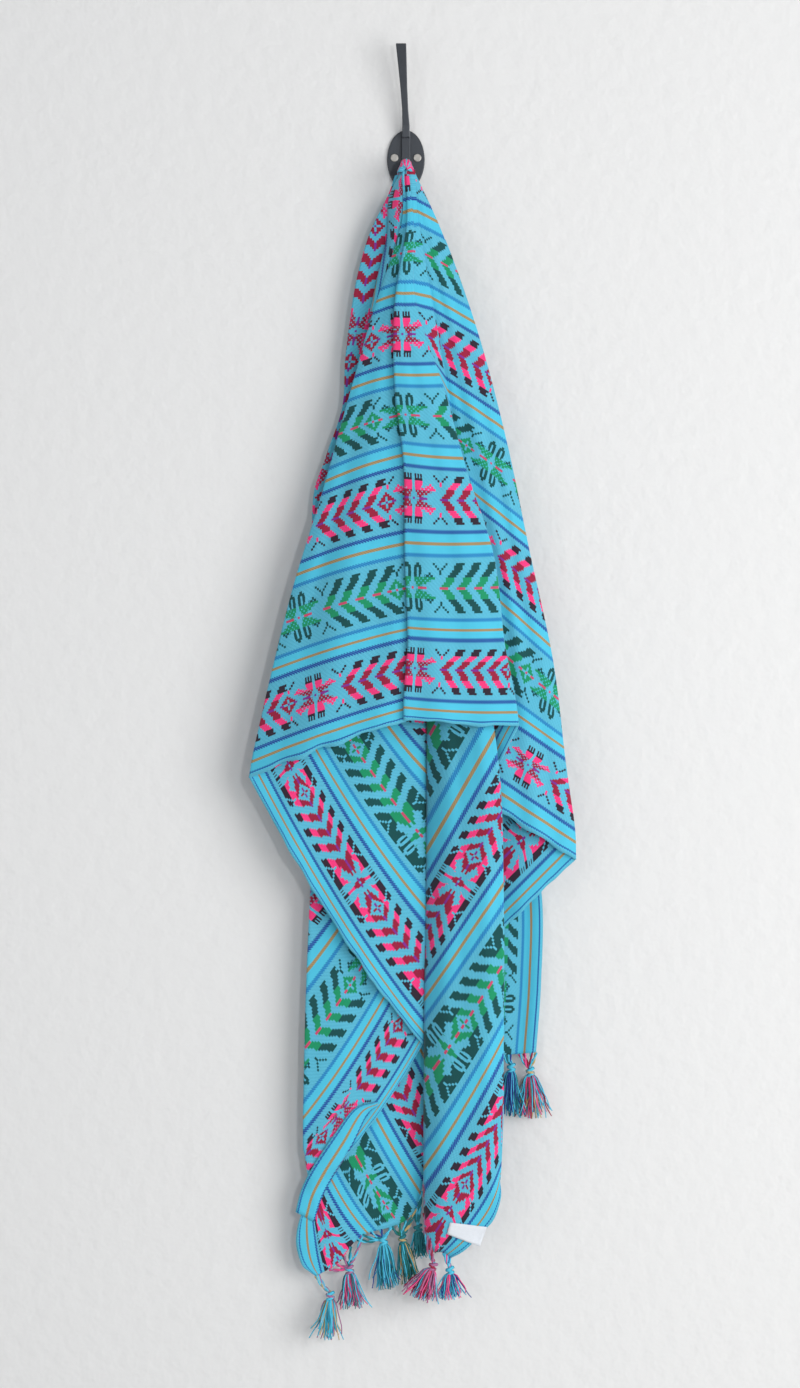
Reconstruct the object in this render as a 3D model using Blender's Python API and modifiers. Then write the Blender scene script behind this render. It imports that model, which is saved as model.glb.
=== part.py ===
"""A fringed shawl draped over a steel wall hook, modelled in metres.

The wall plane is y = 0, the viewer looks along +Y, and the origin is the middle of the hook
plate's back. The cloth is one rectangle. Its stripes run along its length, so each stretch of the
drape is a loft between two fold lines, with one row of points for each stripe.
"""

import math

import bmesh
import bpy
from mathutils import Vector
from mathutils.bvhtree import BVHTree

MM = 0.001

# Cloth
CLOTH_WALL = 1.2
CLOTH_DROP = 5.0          # the tables are measured from the hook's middle, the cloth hangs this much lower
SEAM_GAP = 0.9            # half the distance between the middles of two stretches at their fold
ROWS_PER_STRIPE = 2       # loft rows from one stripe row to the next

# Fold lines: the point (x, y, z) where each fold crosses each stripe row. The rows lie 0, 27, 57, 87,
# 169, 252, 334, 417, 499 and 551 mm from the lower selvedge on the cloth.
FOLD_LINES = {
    "centre": [(-1, -88, -562), (-1, -87, -540), (1, -85, -510), (3, -83, -479), (0, -77, -398),
               (-1, -71, -308), (-10, -64, -229), (-10, -57, -147), (2, -50, -67), (1, -46, -10.6)],
    "left": [(-156, -46, -620), (-151, -46, -592), (-143, -46, -557), (-135, -46, -522),
             (-112, -45, -430), (-83, -44, -336), (-57, -43, -243), (-32, -42, -155),
             (-5, -42, -69), (-3, -45, -10.6)],
    "ridge": [(113, -78, -568), (110, -77, -544), (104, -76, -512), (98, -75, -481),
              (88, -71, -398), (61, -66, -313), (38, -60, -229), (11, -55, -147), (8, -50, -66),
              (3, -46, -10.6)],
    "inner": [(75, -52, -642), (77, -52, -609), (79, -52, -577), (80, -51, -545), (75, -49, -439),
              (58, -47, -338), (44, -46, -245), (28, -46, -151), (14, -46, -67), (5, -45, -10.9)],
    "right": [(171, -42, -702), (170, -42, -672), (165, -42, -636), (160, -42, -600),
              (148, -41, -503), (124, -40, -391), (102, -39, -285), (74, -38, -178),
              (40, -37, -80), (10, -38, -14)],
    "corner": [(32, -27, -836), (32, -27, -812), (32, -27, -766), (32, -27, -706), (32, -27, -583),
               (32, -27, -458), (28, -26, -335), (24, -26, -210), (20, -27, -95)],
    "column": [(95, -50, -1022), (96, -52, -1006), (98, -56, -952), (98, -60, -895),
               (98, -67, -747), (92, -72, -598), (62, -65, -430), (34, -56, -270), (22, -42, -112)],
    "valley": [(45, -34, -1102), (38, -35, -1096), (22, -36, -1088), (19, -37, -1030),
               (21, -38, -863), (26, -39, -720), (28, -40, -505), (24, -40, -330), (14, -36, -140)],
    "left_valley": [(18, -33, -888), (20, -33, -866), (22, -34, -815), (24, -34, -770),
                    (23, -34, -635), (20, -34, -505), (16, -34, -370), (12, -34, -232),
                    (4, -35, -104)],
    "left_low": [(-93, -30, -1034), (-96, -30, -1026), (-100, -31, -1000), (-102, -31, -975),
                 (-99, -31, -836), (-91, -31, -673), (-75, -31, -489), (-46, -31, -307),
                 (-16, -31, -127)],
    "end": [(-90, -24, -1121), (-84, -24, -1118), (-66, -24, -1107), (-44, -23, -1081),
            (12, -22, -1051), (21, -22, -925), (20, -22, -760), (12, -23, -520), (0, -25, -220)],
}


class Stretch:
    """One stretch of the drape: the fold lines at its two ends and how its rows bow between them."""

    def __init__(self, name, start, end, bow, sag, swing=(0,) * 10, columns=6, reverse=False):
        self.name = name
        self.start = start
        self.end = end
        self.bow = bow              # forward bulge as a share of the row's length
        self.sag = sag              # millimetres that the middle of a row hangs below its chord
        self.swing = swing          # millimetres that the middle of a row stands to the right
        self.columns = columns
        self.reverse = reverse


STRETCHES = [
    Stretch("front_left", "centre", "left", 0.07, -3),
    Stretch("front_right", "centre", "ridge", 0.05, 2),
    Stretch("front_turn", "ridge", "inner", 0.0, 0, columns=3),
    Stretch("right_flank", "inner", "right", 0.06, 0),
    Stretch("right_corner_reverse", "right", "corner", 0.02, 0, reverse=True),
    Stretch("right_inner", "corner", "column", 0.06, 0, columns=4),
    Stretch("right_reverse", "column", "valley", 0.07, 0, swing=(18, 7, 3, 3, 0, 0, 0, 0, 0),
            reverse=True),
    Stretch("left_reverse", "left", "left_valley", 0.02, 15, reverse=True),
    Stretch("lower_left", "left_valley", "left_low", 0.01, 12),
    Stretch("end_reverse", "left_low", "end", 0.01, 12, swing=(-18, 0, 0, 0, 0, 0, 0, 0, 0),
            reverse=True),
]

# The edge strip that is turned over in front of the lower left: its edge, then its fold
ROLL_EDGE = [(-28, 0, -945), (-51, 0, -952), (-72, 0, -979), (-93, 0, -1011), (-104, 0, -1033),
             (-110, 0, -1056)]
ROLL_FOLD = [(-26, 0, -948), (-38, 0, -958), (-53, 0, -989), (-72, 0, -1020), (-84, 0, -1043),
             (-91, 0, -1066)]
ROLL_STAND = 0.6          # its clearance from the stretch below it, which gives its depth

# Upright stretches near the wall: left edge, then right edge, from the hook down
RIDGE_LEFT = [(-8, -33, -23), (-16, -33, -39), (-18, -34, -77), (-25, -34, -107), (-35, -35, -152)]
RIDGE_RIGHT = [(-5, -43, -19), (-5.5, -43, -46), (-6.8, -42, -69), (-18, -42, -107), (-33.6, -43, -153)]
FLANK_LEFT = [(-10, -22, -15), (-18, -22, -37), (-35, -22, -72), (-46, -22, -108), (-53, -22, -144),
              (-60, -22, -200), (-63, -22, -248), (-80, -22, -299), (-93, -22, -349),
              (-88, -22, -470), (-86, -22, -640), (-86, -22, -800), (-82, -22, -948)]
FLANK_RIGHT = [(-5.2, -22, -13), (-9, -22, -37), (-17, -22, -72), (-23, -22, -108), (-28, -22, -144),
               (-36, -22, -200), (-42, -22, -248), (-50, -22, -299), (-56, -22, -349),
               (-52, -22, -470), (-46, -22, -640), (-42, -22, -800), (-40, -22, -955)]
BACK_LEFT_RIGHT = [(-2, -11, -18), (0, -11, -37), (0, -10, -72), (-1, -10, -108), (-2, -9, -144),
                   (-3, -9, -200), (-1, -9, -248), (2, -9, -299), (5, -9, -349),
                   (12, -9, -470), (20, -9, -640), (26, -8, -800), (28, -8, -958)]
BACK_RIGHT_LEFT = [(0.6, -12, -37), (2, -14, -80), (5, -15, -134), (8, -15, -300), (14, -15, -500),
                   (22, -15, -650), (28, -15, -741), (32, -15, -827), (36, -15, -905)]
BACK_RIGHT_RIGHT = [(9, -13, -37), (22, -12, -80), (34, -12, -134), (62, -12, -300),
                    (100, -12, -500), (124, -13, -650), (138, -14, -741), (137, -14, -827),
                    (132, -14, -897)]
BACK_ROW_START = 1        # the back begins below the prong
BACK_WAVE = 2.2           # depth of the pleats at the back, each way
BACK_LEFT_PLEATS = 3.0
BACK_RIGHT_PLEATS = 2.5

# Saddle of gathered cloth over the prong: y, top z, half width and foot z of each section
SADDLE_X = 1.0
SADDLE_SECTIONS = [(-45.4, -9.0, 4.6, -15.2), (-42.0, -5.6, 4.9, -15.2), (-36.0, -5.0, 4.9, -15.6),
                   (-28.0, -8.0, 4.9, -18.0), (-20.0, -11.5, 4.9, -20.0)]

# Wall hook
PLATE_WIDTH = 38.0
PLATE_HEIGHT = 60.0
PLATE_THICK = 3.0
PLATE_Z = -2.0
HOOK_X = 1.0
ARM_WIDTH = 9.0
ARM_THICK = 3.4
ARM_TOP = 27.0
ARM_BOTTOM = -24.0
SCREW_SPREAD = 11.6
SCREW_RADIUS = 4.0
PART_GAP = 0.3

# Prong sections: centre x, y, z, then width and thickness
UPPER_PRONG = [(1.0, -9.5, 20.0, 7.8, 4.4), (1.0, -10.5, 32.0, 7.4, 4.4), (0.2, -13.5, 48.0, 6.2, 4.2),
               (-1.2, -18.0, 70.0, 7.0, 4.0), (-2.6, -24.0, 92.0, 8.8, 3.8), (-4.0, -31.0, 112.0, 10.5, 3.6)]
LOWER_PRONG = [(1.0, -7.2, -16.8, 7.6, 4.4), (1.0, -16.0, -17.4, 7.4, 4.2), (1.0, -24.0, -17.5, 7.2, 4.2),
               (1.0, -31.5, -14.5, 7.4, 4.2), (1.0, -38.0, -10.0, 7.8, 3.6)]

# Care label on the lower right corner: its four corners
LABEL_CORNERS = [(45, -1064), (82, -1069), (75, -1089), (42, -1076)]
LABEL_THICK = 0.5
LABEL_STAND = 1.9         # from the middle of the cloth's wall to the middle of the label

# Tassels: the stretch, how far along its end edge it hangs, its knot, its tips' middle and spread.
# On the first four stretches the edge runs up the rows, on the back ones it is the lowest row.
TASSELS = {
    "tassel_end1_corner": ("end_reverse", 0.5, (-75, -27, -1137), (-76, -30, -1185), 2.2),
    "tassel_end1_pink": ("end_reverse", 4.9, (-56, -25, -1111), (-52, -27, -1154), 1.8),
    "tassel_end1_blue": ("end_reverse", 6.3, (-22, -24, -1082), (-17, -25, -1135), 1.9),
    "tassel_end1_green": ("end_reverse", 7.2, (-3, -23, -1081), (5, -24, -1130), 1.7),
    "tassel_end1_teal": ("end_reverse", 7.9, (13, -21, -1070), (14, -22, -1104), 1.4),
    "tassel_end2_pink": ("right_reverse", 3.8, (29, -40, -1106), (14, -41, -1143), 1.6),
    "tassel_end2_blue": ("right_reverse", 0.9, (45, -34, -1111), (46, -34, -1144), 2.2),
    "tassel_tail_outer": ("back_right", 8.6, (126, -14, -913), (126, -14, -964), 2.0),
    "tassel_tail_inner": ("back_right", 6.8, (107, -14, -909), (107, -14, -962), 1.5),
    "tassel_back_1": ("back_left", 1.2, (-74, -18, -964), (-72, -18, -1024), 1.6),
    "tassel_back_2": ("back_left", 3.7, (-49, -14, -969), (-49, -14, -1030), 1.6),
    "tassel_back_3": ("back_left", 6.2, (-26, -10, -972), (-26, -10, -1030), 1.3),
    "tassel_back_4": ("back_right", 1.6, (51, -14, -917), (51, -14, -976), 1.6),
    "tassel_back_5": ("back_right", 4.2, (76, -14, -915), (77, -14, -974), 1.6),
}
TASSEL_GAP = 0.5
TASSEL_NECK_RADIUS = 1.9
TASSEL_KNOT_RADIUS = 4.2
TASSEL_SECTORS = 6
STRAND_SEGMENTS = 2
STRAND_TAPER = 0.8

COLOURS = {
    "cloth_front": ((0.10, 0.48, 0.66, 1), 0.85, 0.0),
    "cloth_reverse": ((0.08, 0.30, 0.42, 1), 0.9, 0.0),
    "yarn_blue": ((0.12, 0.45, 0.62, 1), 0.9, 0.0),
    "yarn_pink": ((0.75, 0.10, 0.30, 1), 0.9, 0.0),
    "yarn_green": ((0.03, 0.25, 0.18, 1), 0.9, 0.0),
    "label_white": ((0.85, 0.85, 0.85, 1), 0.7, 0.0),
    "hook_steel": ((0.05, 0.055, 0.06, 1), 0.45, 0.6),
    "screw_steel": ((0.7, 0.7, 0.68, 1), 0.3, 1.0),
}


def clear_scene():
    """Remove every object of the open scene."""
    for thing in list(bpy.data.objects):
        bpy.data.objects.remove(thing, do_unlink=True)


def finish(name):
    """Return the plain material of that name, making it the first time."""
    material = bpy.data.materials.get(name)
    if material:
        return material
    colour, roughness, metallic = COLOURS[name]
    material = bpy.data.materials.new(name)
    material.use_nodes = True
    shader = material.node_tree.nodes["Principled BSDF"]
    shader.inputs["Base Color"].default_value = colour
    shader.inputs["Roughness"].default_value = roughness
    shader.inputs["Metallic"].default_value = metallic
    material.diffuse_color = colour
    return material


def add_object(name, mesh, material):
    """Put a mesh into the shawl's collection as a named object with one material."""
    piece = bpy.data.objects.new(name, mesh)
    mesh.materials.append(finish(material))
    PARTS.objects.link(piece)
    return piece


def curve_point(points, t):
    """Return the point at parameter t of the smooth curve through the points, one unit apart."""
    last = len(points) - 1
    i = min(int(t), last - 1)
    f = t - i
    p1, p2 = points[i], points[i + 1]
    p0 = points[i - 1] if i > 0 else 2 * p1 - p2
    p3 = points[i + 2] if i + 2 <= last else 2 * p2 - p1
    return 0.5 * (2 * p1 + (p2 - p0) * f + (2 * p0 - 5 * p1 + 4 * p2 - p3) * f * f
                  + (3 * p1 - p0 - 3 * p2 + p3) * f ** 3)


def smooth_line(rows, samples):
    """Return that many points along the smooth curve through the rows, moved down by the drop."""
    points = [Vector((x, y, z - CLOTH_DROP)) for x, y, z in rows]
    return [curve_point(points, k * (len(points) - 1) / (samples - 1)) for k in range(samples)]


def sheet(name, grid, material):
    """Make a closed cloth wall from a grid of points in millimetres."""
    mesh = bpy.data.meshes.new(name)
    across = len(grid[0])
    points = [point * MM for row in grid for point in row]
    faces = [(r * across + c, r * across + c + 1, (r + 1) * across + c + 1, (r + 1) * across + c)
             for r in range(len(grid) - 1) for c in range(across - 1)]
    mesh.from_pydata(points, [], faces)
    piece = add_object(name, mesh, material)
    wall = piece.modifiers.new("Wall", "SOLIDIFY")
    wall.thickness = CLOTH_WALL * MM
    wall.offset = 0.0
    mesh.shade_smooth()
    return piece


def stretch_grid(stretch, order):
    """Return the grid of points of a stretch between its two fold lines."""
    start_rows = FOLD_LINES[stretch.start]
    end_rows = FOLD_LINES[stretch.end]
    count = min(len(start_rows), len(end_rows))
    if stretch.reverse or stretch.name in ("right_inner", "lower_left"):
        count = min(count, 9)
    samples = (count - 1) * ROWS_PER_STRIPE + 1
    start = smooth_line(start_rows[:count], samples)
    end = smooth_line(end_rows[:count], samples)
    grid = []
    for k, (a, b) in enumerate(zip(start, end)):
        t = k / ROWS_PER_STRIPE
        low = min(int(t), count - 2)
        swing = stretch.swing[low] + (stretch.swing[low + 1] - stretch.swing[low]) * (t - low)
        length = (b - a).length
        fade = min(1.0, length / 120.0)
        row = []
        for c in range(stretch.columns + 1):
            s = c / stretch.columns
            hump = 4 * s * (1 - s)
            depth = SEAM_GAP * (order[0] * (1 - s) + order[1] * s)
            row.append(a.lerp(b, s) + Vector((swing * hump, -stretch.bow * length * hump + depth,
                                              -stretch.sag * fade * hump)))
        grid.append(row)
    return grid


def depth_at(grid, x, z):
    """Return the depth y of a grid's surface at (x, z), or of its nearest point outside it."""
    across = len(grid[0])
    points = [point for row in grid for point in row]
    faces = [(r * across + c, r * across + c + 1, (r + 1) * across + c + 1, (r + 1) * across + c)
             for r in range(len(grid) - 1) for c in range(across - 1)]
    tree = BVHTree.FromPolygons(points, faces)
    hit = tree.ray_cast(Vector((x, -500, z)), Vector((0, 1, 0)))[0]
    if hit is None:
        hit = tree.find_nearest(Vector((x, points[0].y, z)))[0]
    return hit.y


def add_stretches():
    """Build every stretch between two fold lines, each a little in front of or behind its fold."""
    # At each fold the front stretch is moved towards the viewer and the other one to the wall
    order = {
        "front_left": (2.0, -1.0), "front_right": (-1.0, -1.0), "front_turn": (1.0, -1.0),
        "right_flank": (1.0, -1.0), "right_corner_reverse": (1.0, 1.0), "right_inner": (-1.0, 1.0),
        "right_reverse": (-1.0, 0.0), "left_reverse": (1.0, -1.0), "lower_left": (1.0, -1.0),
        "end_reverse": (1.0, 0.0),
    }
    for stretch in STRETCHES:
        material = "cloth_reverse" if stretch.reverse else "cloth_front"
        GRIDS[stretch.name] = stretch_grid(stretch, order[stretch.name])
        sheet(stretch.name, GRIDS[stretch.name], material)


def strip_grid(left, right, samples, columns, wave=0.0, pleats=0.0, bow=0.0, inset=0.0):
    """Return a grid between two edges that run down, with pleats that grow away from the hook."""
    first = smooth_line(left, samples)
    second = smooth_line(right, samples)
    grid = []
    for a, b in zip(first, second):
        length = (b - a).length
        row = []
        for c in range(columns + 1):
            s = c / columns
            calm = min(1.0, length / 60.0, 8 * s, 8 * (1 - s))
            depth = wave * calm * math.sin(2 * math.pi * pleats * s)
            hump = 4 * s * (1 - s)
            row.append(a.lerp(b, s) + Vector((0, depth - bow * length * hump + inset, 0)))
        grid.append(row)
    return grid


def add_wall_side():
    """Build the turned-over edge strip, the ridge and flank by the hook, and the back."""
    roll = strip_grid(ROLL_EDGE, ROLL_FOLD, 9, 3)
    for row in roll:
        for point in row:
            point.y = depth_at(GRIDS["lower_left"], point.x, point.z) - CLOTH_WALL - ROLL_STAND
    sheet("selvedge_roll", roll, "cloth_reverse")
    sheet("left_ridge", strip_grid(RIDGE_LEFT, RIDGE_RIGHT, 9, 3, bow=0.3), "cloth_front")
    sheet("left_flank", strip_grid(FLANK_LEFT, FLANK_RIGHT, 17, 4, bow=0.05, inset=-SEAM_GAP), "cloth_front")
    back_left = FLANK_LEFT[BACK_ROW_START:]
    GRIDS["back_left"] = strip_grid(back_left, BACK_LEFT_RIGHT[BACK_ROW_START:], 14, 12,
                                    wave=BACK_WAVE, pleats=BACK_LEFT_PLEATS, inset=SEAM_GAP)
    GRIDS["back_right"] = strip_grid(BACK_RIGHT_LEFT, BACK_RIGHT_RIGHT, 14, 10,
                                     wave=BACK_WAVE, pleats=BACK_RIGHT_PLEATS)
    for name in ("back_left", "back_right"):
        sheet(name, GRIDS[name], "cloth_front")


def add_saddle():
    """Build the gathered cloth over the prong, an arch that runs from its tip to its root."""
    steps = 8
    grid = []
    for y, top, half, foot in SADDLE_SECTIONS:
        arch = []
        for k in range(steps + 1):
            angle = math.pi * k / steps
            arch.append(Vector((SADDLE_X - half * math.cos(angle), y, top + half * (math.sin(angle) - 1))))
        left_foot = Vector((SADDLE_X - half, y, foot))
        right_foot = Vector((SADDLE_X + half, y, foot))
        grid.append([left_foot] + arch + [right_foot])
    sheet("hook_saddle", grid, "cloth_front")


def close_up(model, mesh):
    """Turn every face outwards and write the model into the mesh."""
    model.normal_update()
    bmesh.ops.recalc_face_normals(model, faces=model.faces)
    model.to_mesh(mesh)
    model.free()


def section_loft(name, sections, material):
    """Loft rectangular sections along a bent bar, square to its run in the side view."""
    mesh = bpy.data.meshes.new(name)
    model = bmesh.new()
    rings = []
    for i, (x, y, z, width, thick) in enumerate(sections):
        before = sections[max(i - 1, 0)]
        after = sections[min(i + 1, len(sections) - 1)]
        run = Vector((after[0] - before[0], after[1] - before[1], after[2] - before[2])).normalized()
        side = Vector((1, 0, 0))
        face = run.cross(side).normalized()
        centre = Vector((x, y, z))
        corners = [centre + side * sx * width / 2 + face * sf * thick / 2
                   for sx, sf in ((-1, -1), (1, -1), (1, 1), (-1, 1))]
        rings.append([model.verts.new(corner * MM) for corner in corners])
    for low, high in zip(rings, rings[1:]):
        for k in range(4):
            model.faces.new((low[k], low[(k + 1) % 4], high[(k + 1) % 4], high[k]))
    model.faces.new(rings[0])
    model.faces.new(rings[-1])
    close_up(model, mesh)
    piece = add_object(name, mesh, material)
    edge = piece.modifiers.new("Edges", "BEVEL")
    edge.width = 0.8 * MM
    edge.segments = 2
    edge.limit_method = "ANGLE"
    return piece


def disc(name, radius, thick, scale, place, segments, bevel, material):
    """Make a round or oval plate that faces the viewer, with its front edge rounded."""
    model = bmesh.new()
    bmesh.ops.create_cone(model, cap_ends=True, segments=segments, radius1=radius * MM,
                          radius2=radius * MM, depth=thick * MM)
    mesh = bpy.data.meshes.new(name)
    for vert in model.verts:
        x, y, z = vert.co
        vert.co = Vector((x * scale[0], z, y * scale[1])) + Vector(place) * MM
    close_up(model, mesh)
    piece = add_object(name, mesh, material)
    edge = piece.modifiers.new("Edges", "BEVEL")
    edge.width = bevel * MM
    edge.segments = 2
    edge.limit_method = "ANGLE"
    return piece


def add_hook():
    """Build the wall hook: an oval plate, the arm on it, two prongs and two screws."""
    disc("hook_plate", 1.0, PLATE_THICK, (PLATE_WIDTH / 2, PLATE_HEIGHT / 2),
         (HOOK_X, -PLATE_THICK / 2, PLATE_Z), 40, 0.9, "hook_steel")
    front = -PLATE_THICK - PART_GAP
    middle = (ARM_TOP + ARM_BOTTOM) / 2
    model = bmesh.new()
    bmesh.ops.create_cube(model, size=1.0)
    for vert in model.verts:
        x, y, z = vert.co
        vert.co = Vector((HOOK_X + x * ARM_WIDTH, front - ARM_THICK / 2 + y * ARM_THICK,
                          middle + z * (ARM_TOP - ARM_BOTTOM))) * MM
    mesh = bpy.data.meshes.new("hook_arm")
    close_up(model, mesh)
    arm = add_object("hook_arm", mesh, "hook_steel")
    edge = arm.modifiers.new("Edges", "BEVEL")
    edge.width = 0.8 * MM
    edge.segments = 2
    section_loft("hook_upper_prong", UPPER_PRONG, "hook_steel")
    section_loft("hook_lower_prong", LOWER_PRONG, "hook_steel")
    for name, side in (("screw_left", -1), ("screw_right", 1)):
        disc(name, SCREW_RADIUS, 1.6, (1, 1), (HOOK_X + side * SCREW_SPREAD, front - 0.8, 0), 16, 0.5,
             "screw_steel")


def add_label():
    """Build the blank care label from the points of the column that it lies on."""
    grid = []
    (ax, az), (bx, bz), (cx, cz), (dx, dz) = LABEL_CORNERS
    for r in range(3):
        row = []
        for c in range(5):
            s, t = c / 4, r / 2
            x = (ax + (bx - ax) * s) * (1 - t) + (dx + (cx - dx) * s) * t
            z = (az + (bz - az) * s) * (1 - t) + (dz + (cz - dz) * s) * t - CLOTH_DROP
            row.append(Vector((x, depth_at(GRIDS["right_reverse"], x, z) - LABEL_STAND, z)))
        grid.append(row)
    piece = sheet("care_label", grid, "label_white")
    piece.modifiers["Wall"].thickness = LABEL_THICK * MM


def ring_frame(direction):
    """Return two unit vectors square to a direction."""
    side = Vector((1, 0, 0)) if abs(direction.x) < 0.8 else Vector((0, 0, 1))
    first = direction.cross(side).normalized()
    return first, direction.cross(first).normalized()


def edge_seat(node, t):
    """Return a point at parameter t of a stretch's end edge, and the way out of the cloth there."""
    grid = GRIDS[node]
    upright = node.startswith("back")
    edge = grid[-1] if upright else [row[-1] for row in grid]
    inner = grid[-2] if upright else [row[-2] for row in grid]
    k = min(int(t), len(edge) - 2)
    along = (edge[k + 1] - edge[k]).normalized()
    out = edge[k] - inner[k]
    return edge[k].lerp(edge[k + 1], t - k), (out - along * out.dot(along)).normalized()


def add_tassel(name, node, place, knot, tips, spread):
    """Build a tassel: a neck from the cloth, a knot, and strands that fan out from the knot's foot."""
    drop = Vector((0, 0, -CLOTH_DROP))
    knot, tips = (Vector(point) + drop for point in (knot, tips))
    seat, out = edge_seat(node, place)
    root = seat + out * TASSEL_GAP
    fall = (tips - knot).normalized()
    shape = [(root, TASSEL_NECK_RADIUS, out), (root.lerp(knot, 0.6) + out, TASSEL_NECK_RADIUS, out + fall),
             (knot, TASSEL_KNOT_RADIUS, fall), (knot + fall * 6, TASSEL_KNOT_RADIUS * 0.85, fall),
             (knot + fall * 9, TASSEL_KNOT_RADIUS, fall)]
    model = bmesh.new()
    rings = []
    for centre, radius, run in shape:
        first, second = ring_frame(run.normalized())
        rings.append([model.verts.new(centre + (first * math.cos(a) + second * math.sin(a)) * radius)
                      for a in (2 * math.pi * k / TASSEL_SECTORS for k in range(TASSEL_SECTORS))])
    for low, high in zip(rings, rings[1:]):
        for k in range(TASSEL_SECTORS):
            after = (k + 1) % TASSEL_SECTORS
            model.faces.new((low[k], low[after], high[after], high[k]))
    model.faces.new(rings[0])
    # The foot of the knot: a ring of outer faces round a ring of inner ones, a strand from each
    base = knot + fall * 9
    half = [model.verts.new(base.lerp(vert.co, 0.5)) for vert in rings[-1]]
    middle = model.verts.new(base)
    foot = []
    for k in range(TASSEL_SECTORS):
        after = (k + 1) % TASSEL_SECTORS
        foot.append(model.faces.new((rings[-1][k], rings[-1][after], half[after], half[k])))
        foot.append(model.faces.new((half[k], half[after], middle)))
    bmesh.ops.recalc_face_normals(model, faces=model.faces)
    bmesh.ops.inset_individual(model, faces=foot, thickness=0.28)
    length = (tips - base).length
    for index, face in enumerate(foot):
        centre = face.calc_center_median()
        offset = centre - base
        reach = length * (0.86 + 0.14 * math.sin(2.4 * index + len(name)))
        top = face
        for step in range(1, STRAND_SEGMENTS + 1):
            grown = bmesh.ops.extrude_discrete_faces(model, faces=[top])["faces"][0]
            t = step / STRAND_SEGMENTS
            fan = 1 + (spread - 1) * (1 - (1 - t) ** 2)
            target = base + fall * reach * t + offset * fan
            shift = target - grown.calc_center_median()
            for vert in grown.verts:
                vert.co += shift
            here = grown.calc_center_median()
            for vert in grown.verts:
                vert.co = here + (vert.co - here) * STRAND_TAPER
            top = grown
    for vert in model.verts:
        vert.co *= MM
    mesh = bpy.data.meshes.new(name)
    close_up(model, mesh)
    colour = "yarn_pink" if "pink" in name else "yarn_green" if "green" in name else "yarn_blue"
    add_object(name, mesh, colour)


clear_scene()
GRIDS = {}
PARTS = bpy.data.collections.new("Shawl on hook")
bpy.context.scene.collection.children.link(PARTS)
add_hook()
add_saddle()
add_stretches()
add_wall_side()
add_label()
for tassel_name, tassel_row in TASSELS.items():
    add_tassel(tassel_name, *tassel_row)
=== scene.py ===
import logging
import math
import random
from dataclasses import dataclass, field
from enum import Enum
from typing import Callable, Iterable, Sequence

import bpy
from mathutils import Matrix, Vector, noise
from mathutils.bvhtree import BVHTree


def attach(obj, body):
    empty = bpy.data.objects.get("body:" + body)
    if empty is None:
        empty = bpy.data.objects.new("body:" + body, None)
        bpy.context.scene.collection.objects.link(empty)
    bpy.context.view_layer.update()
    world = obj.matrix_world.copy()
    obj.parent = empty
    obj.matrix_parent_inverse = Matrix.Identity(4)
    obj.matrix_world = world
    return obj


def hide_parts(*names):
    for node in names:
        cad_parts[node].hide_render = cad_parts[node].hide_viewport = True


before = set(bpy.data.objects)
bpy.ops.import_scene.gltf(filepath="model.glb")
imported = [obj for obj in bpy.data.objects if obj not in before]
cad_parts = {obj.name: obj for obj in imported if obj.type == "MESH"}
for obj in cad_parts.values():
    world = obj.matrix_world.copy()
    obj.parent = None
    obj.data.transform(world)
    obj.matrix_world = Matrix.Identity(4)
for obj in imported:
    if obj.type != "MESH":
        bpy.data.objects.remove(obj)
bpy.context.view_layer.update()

MM = 0.001
LOG = logging.getLogger("shawl")

Row = tuple[float, float, float]
Colour = tuple[float, float, float, float]

# Cloth, in millimetres
CLOTH_WALL = 1.1
CLOTH_DROP = 5.0          # the tables are measured from the hook's middle, the cloth hangs this much lower
FOLD_RADIUS = 1.7
FOLD_STEPS = 4
CELL = 2.2                # one cell of the brocade
REPEAT_CELLS = 62
BAND_PITCH = 82.4
FIRST_OCHRE = 16.1
CLOTH_WIDTH = 691.0

# Heights of the stripe rows on the cloth, from the lower selvedge
STRIPES = (0, 27, 57, 87, 169, 252, 334, 417, 499, 551)

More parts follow.
